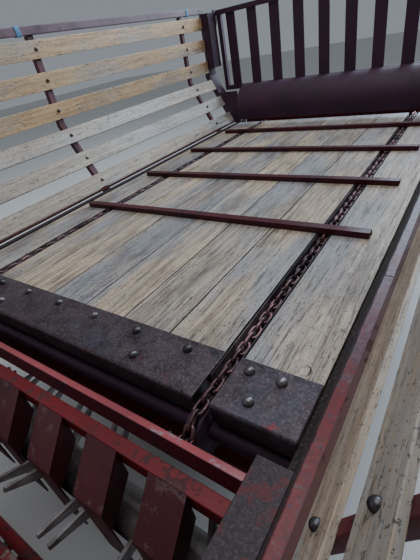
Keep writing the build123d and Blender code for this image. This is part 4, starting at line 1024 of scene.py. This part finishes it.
def add_tyre(side_name):
    """Farm trailer tyre: rounded carcass and rows of tread blocks, each row set off from the next."""
    low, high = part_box("tyre_" + side_name)
    centre = (low + high) / 2
    block_depth, sunk = 0.010, 0.0008
    rows = [(-offset, radius) for offset, radius in tyre_half_rows]
    rows += [(offset, radius) for offset, radius in reversed(tyre_half_rows)]
    pieces = [lathe("tyre", rows, 72, centre)]
    for offset, radius, tilt, across, length, shift in tread_rows:
        block = bevelled(block_at((0, 0, 0), (across, length, block_depth)), 0.0022, 2, 40.0)
        for side in (-1, 1) if offset else (1,):
            lean = Matrix.Rotation(radians(side * tilt), 4, "Y")
            place = Matrix.Translation((side * offset, 0, radius - sunk)) @ lean
            for number in range(tread_blocks):
                turn = Matrix.Rotation(2 * pi * (number + shift) / tread_blocks, 4, "X")
                pieces.append(copy_at(block, Matrix.Translation(centre) @ turn @ place))
        bpy.data.objects.remove(block)
    tyre = joined(pieces, "treaded_tyre_" + side_name)
    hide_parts("tyre_" + side_name)
    finish_piece(tyre, finishes["tyre"], "wheel_" + side_name, 35)


def add_wheels():
    """Treaded tyres, wheel nuts, and gauge wheels with painted centres."""
    rim_face, nut_circle, wheel_nuts, painted_r = 0.0331, 0.086, 6, 0.097
    for side, side_name in ((-1, "right"), (1, "left")):
        add_tyre(side_name)
        low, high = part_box("rim_" + side_name)
        centre = (low + high) / 2
        nuts = []
        for number in range(wheel_nuts):
            angle = 2 * pi * number / wheel_nuts
            place = centre + Vector((side * rim_face, nut_circle * cos(angle), nut_circle * sin(angle)))
            nuts.append((place, (side, 0, 0)))
        wheel = "wheel_" + side_name
        fasten(hex_bolt(0.024, 0.016), nuts, "wheel_nuts_" + side_name, wheel)
        gauge = soften("gauge_wheel_" + side_name, 0.0030)
        low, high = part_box("gauge_wheel_" + side_name)
        middle = (low + high) / 2
        paint_where(gauge, finishes["rim_paint"],
                    lambda point, normal: hypot(point.y - middle.y, point.z - middle.z) < painted_r)


# Marks of use, and small things tied on or wound round
def add_marks():
    """Ring of a loose knot in the outer plank, and the weld seam between two lengths of the side rail."""
    knot_place = Vector((0.807, -0.189, floor_high.z))
    knot_r, drawn_out, flatness, dark_side = 0.0140, 1.25, 0.25, 0.4
    seam_y, seam_width, seam_depth, rail_round = 0.276, 0.0045, 0.0012, 0.003
    scar = ring_of_wire(knot_r, 0.0010, 32, 6, knot_place)
    draw = random.Random(4)
    for vertex in scar.data.vertices:
        angle = atan2(vertex.co.y - knot_place.y, vertex.co.x - knot_place.x)
        line = knot_place + knot_r * Vector((cos(angle), sin(angle), 0))
        thickness = 0.30 + 1.1 * max(0.0, cos(angle - dark_side))
        vertex.co = line + thickness * (vertex.co - line)
        uneven = draw.uniform(-0.0003, 0.0003)
        vertex.co.y = knot_place.y + drawn_out * (vertex.co.y - knot_place.y) + uneven
        vertex.co.z = knot_place.z + flatness * (vertex.co.z - knot_place.z)
    scar.name = "knot_scar"
    finish_piece(scar, finishes["dirt"], "wagon", 60)
    rail_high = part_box("side_channels")[1]
    length = rail_high.x - rail_inner - 2 * rail_round
    seams = []
    for side in (-1, 1):
        place = (side * (rail_inner + rail_round + length / 2), seam_y, rail_high.z)
        seam = cut_across(block_at(place, (length, seam_width, seam_depth)), 0, 0.003)
        for vertex in seam.data.vertices:
            vertex.co.y += draw.uniform(-0.0008, 0.0008)
        seams.append(bevelled(seam, 0.0003, 1, 40.0))
    finish_piece(joined(seams, "rail_seams"), finishes["dark_paint"], "wagon")


def add_twine():
    """Twine wound tight round the right top rail in two places."""
    rail_low, rail_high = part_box("top_rail_right")
    middle = (rail_low + rail_high) / 2
    twine_r, spacing, turns, lean = 0.0028, 0.0050, 6, 0.10
    ring_r, clear, corner_share = 0.0215, 0.0015, 0.9858
    half_width = (rail_high.x - rail_low.x) / 2 + clear
    half_height = (rail_high.z - rail_low.z) / 2 + clear
    pieces = []
    for y in (0.690, 2.290):
        for turn in range(turns):
            place = (middle.x, y + (turn - (turns - 1) / 2) * spacing, middle.z)
            ring = ring_of_wire(ring_r, twine_r, 36, 8, place, (pi / 2 + lean * (turn % 2), 0, 0))
            for vertex in ring.data.vertices:
                angle = atan2(vertex.co.z - middle.z, vertex.co.x - middle.x)
                face = 1 / max(abs(cos(angle)) / half_width, abs(sin(angle)) / half_height)
                reach = min(face, corner_share * hypot(half_width, half_height)) - ring_r
                vertex.co.x += reach * cos(angle)
                vertex.co.z += reach * sin(angle)
            pieces.append(ring)
    finish_piece(joined(pieces, "twine_lashings"), finishes["twine"], "wagon", 60)


def add_tine_coils():
    """Spring coils of the reel's tines, three turns wound round the bar beside each tine."""
    reel_low, reel_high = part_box("pickup_reel")
    axle = (reel_low + reel_high) / 2
    bars, bar_r, tine_pitch, tines = 4, 0.110, 0.090, 16
    wire_r, coil_r, turn_pitch, beside = 0.0030, 0.0175, 0.0062, 0.012
    coil = ring_of_wire(coil_r, wire_r, 16, 6, turn=(0, pi / 2, 0))
    copies = []
    for bar in range(bars):
        angle = pi / 4 + 2 * pi * bar / bars
        place = Vector((0, axle.y + bar_r * cos(angle), axle.z + bar_r * sin(angle)))
        for number in range(tines):
            x = (number - (tines - 1) / 2) * tine_pitch + beside
            for turn in (-1, 0, 1):
                shift = place + Vector((x + turn * turn_pitch, 0, 0))
                copies.append(copy_at(coil, Matrix.Translation(shift)))
    bpy.data.objects.remove(coil)
    finish_piece(joined(copies, "tine_coils"), finishes["tine_steel"], "reel", 60)


# Stage
def add_stage():
    """Plain pale floor and soft studio light."""
    deselect()
    bpy.ops.mesh.primitive_plane_add(size=60, location=(0, 0, -0.002))
    ground = bpy.context.object
    ground.name = "studio_floor"
    material, tree, shader = start_material("studio_floor")
    shader.inputs["Base Color"].default_value = (0.62, 0.61, 0.59, 1)
    shader.inputs["Roughness"].default_value = 0.9
    ground.data.materials.append(material)
    world = bpy.data.worlds.new("studio")
    bpy.context.scene.world = world
    world.use_nodes = True
    sky = world.node_tree.nodes["Background"]
    sky.inputs["Color"].default_value = (0.82, 0.90, 1.0, 1)
    sky.inputs["Strength"].default_value = 0.30
    # Rows are name, place, aim, size, power, colour
    lights = (
        ("window", (2.2, 7.0, 4.2), (0.1, 0.6, 0.9), 5.0, 780.0, (0.68, 0.83, 1.0)),
        ("roof", (0.6, 1.0, 6.0), (0.0, 0.6, 0.9), 4.0, 185.0, (0.94, 0.96, 1.0)),
        ("fill", (-4.5, -3.5, 3.5), (0.0, 0.0, 0.8), 4.0, 50.0, (0.82, 0.91, 1.0)),
    )
    for name, place, aim, size, power, colour in lights:
        data = bpy.data.lights.new(name, "AREA")
        data.size = size
        data.energy = power
        data.color = colour
        lamp = bpy.data.objects.new(name, data)
        bpy.context.scene.collection.objects.link(lamp)
        way = Vector(aim) - Vector(place)
        lamp.matrix_world = Matrix.Translation(place) @ way.to_track_quat("-Z", "Y").to_matrix().to_4x4()


add_camera()
add_woodwork()
add_gap_dirt()
add_steelwork()
add_slats()
add_chains()
add_fasteners()
add_wheels()
add_marks()
add_twine()
add_tine_coils()
add_stage()
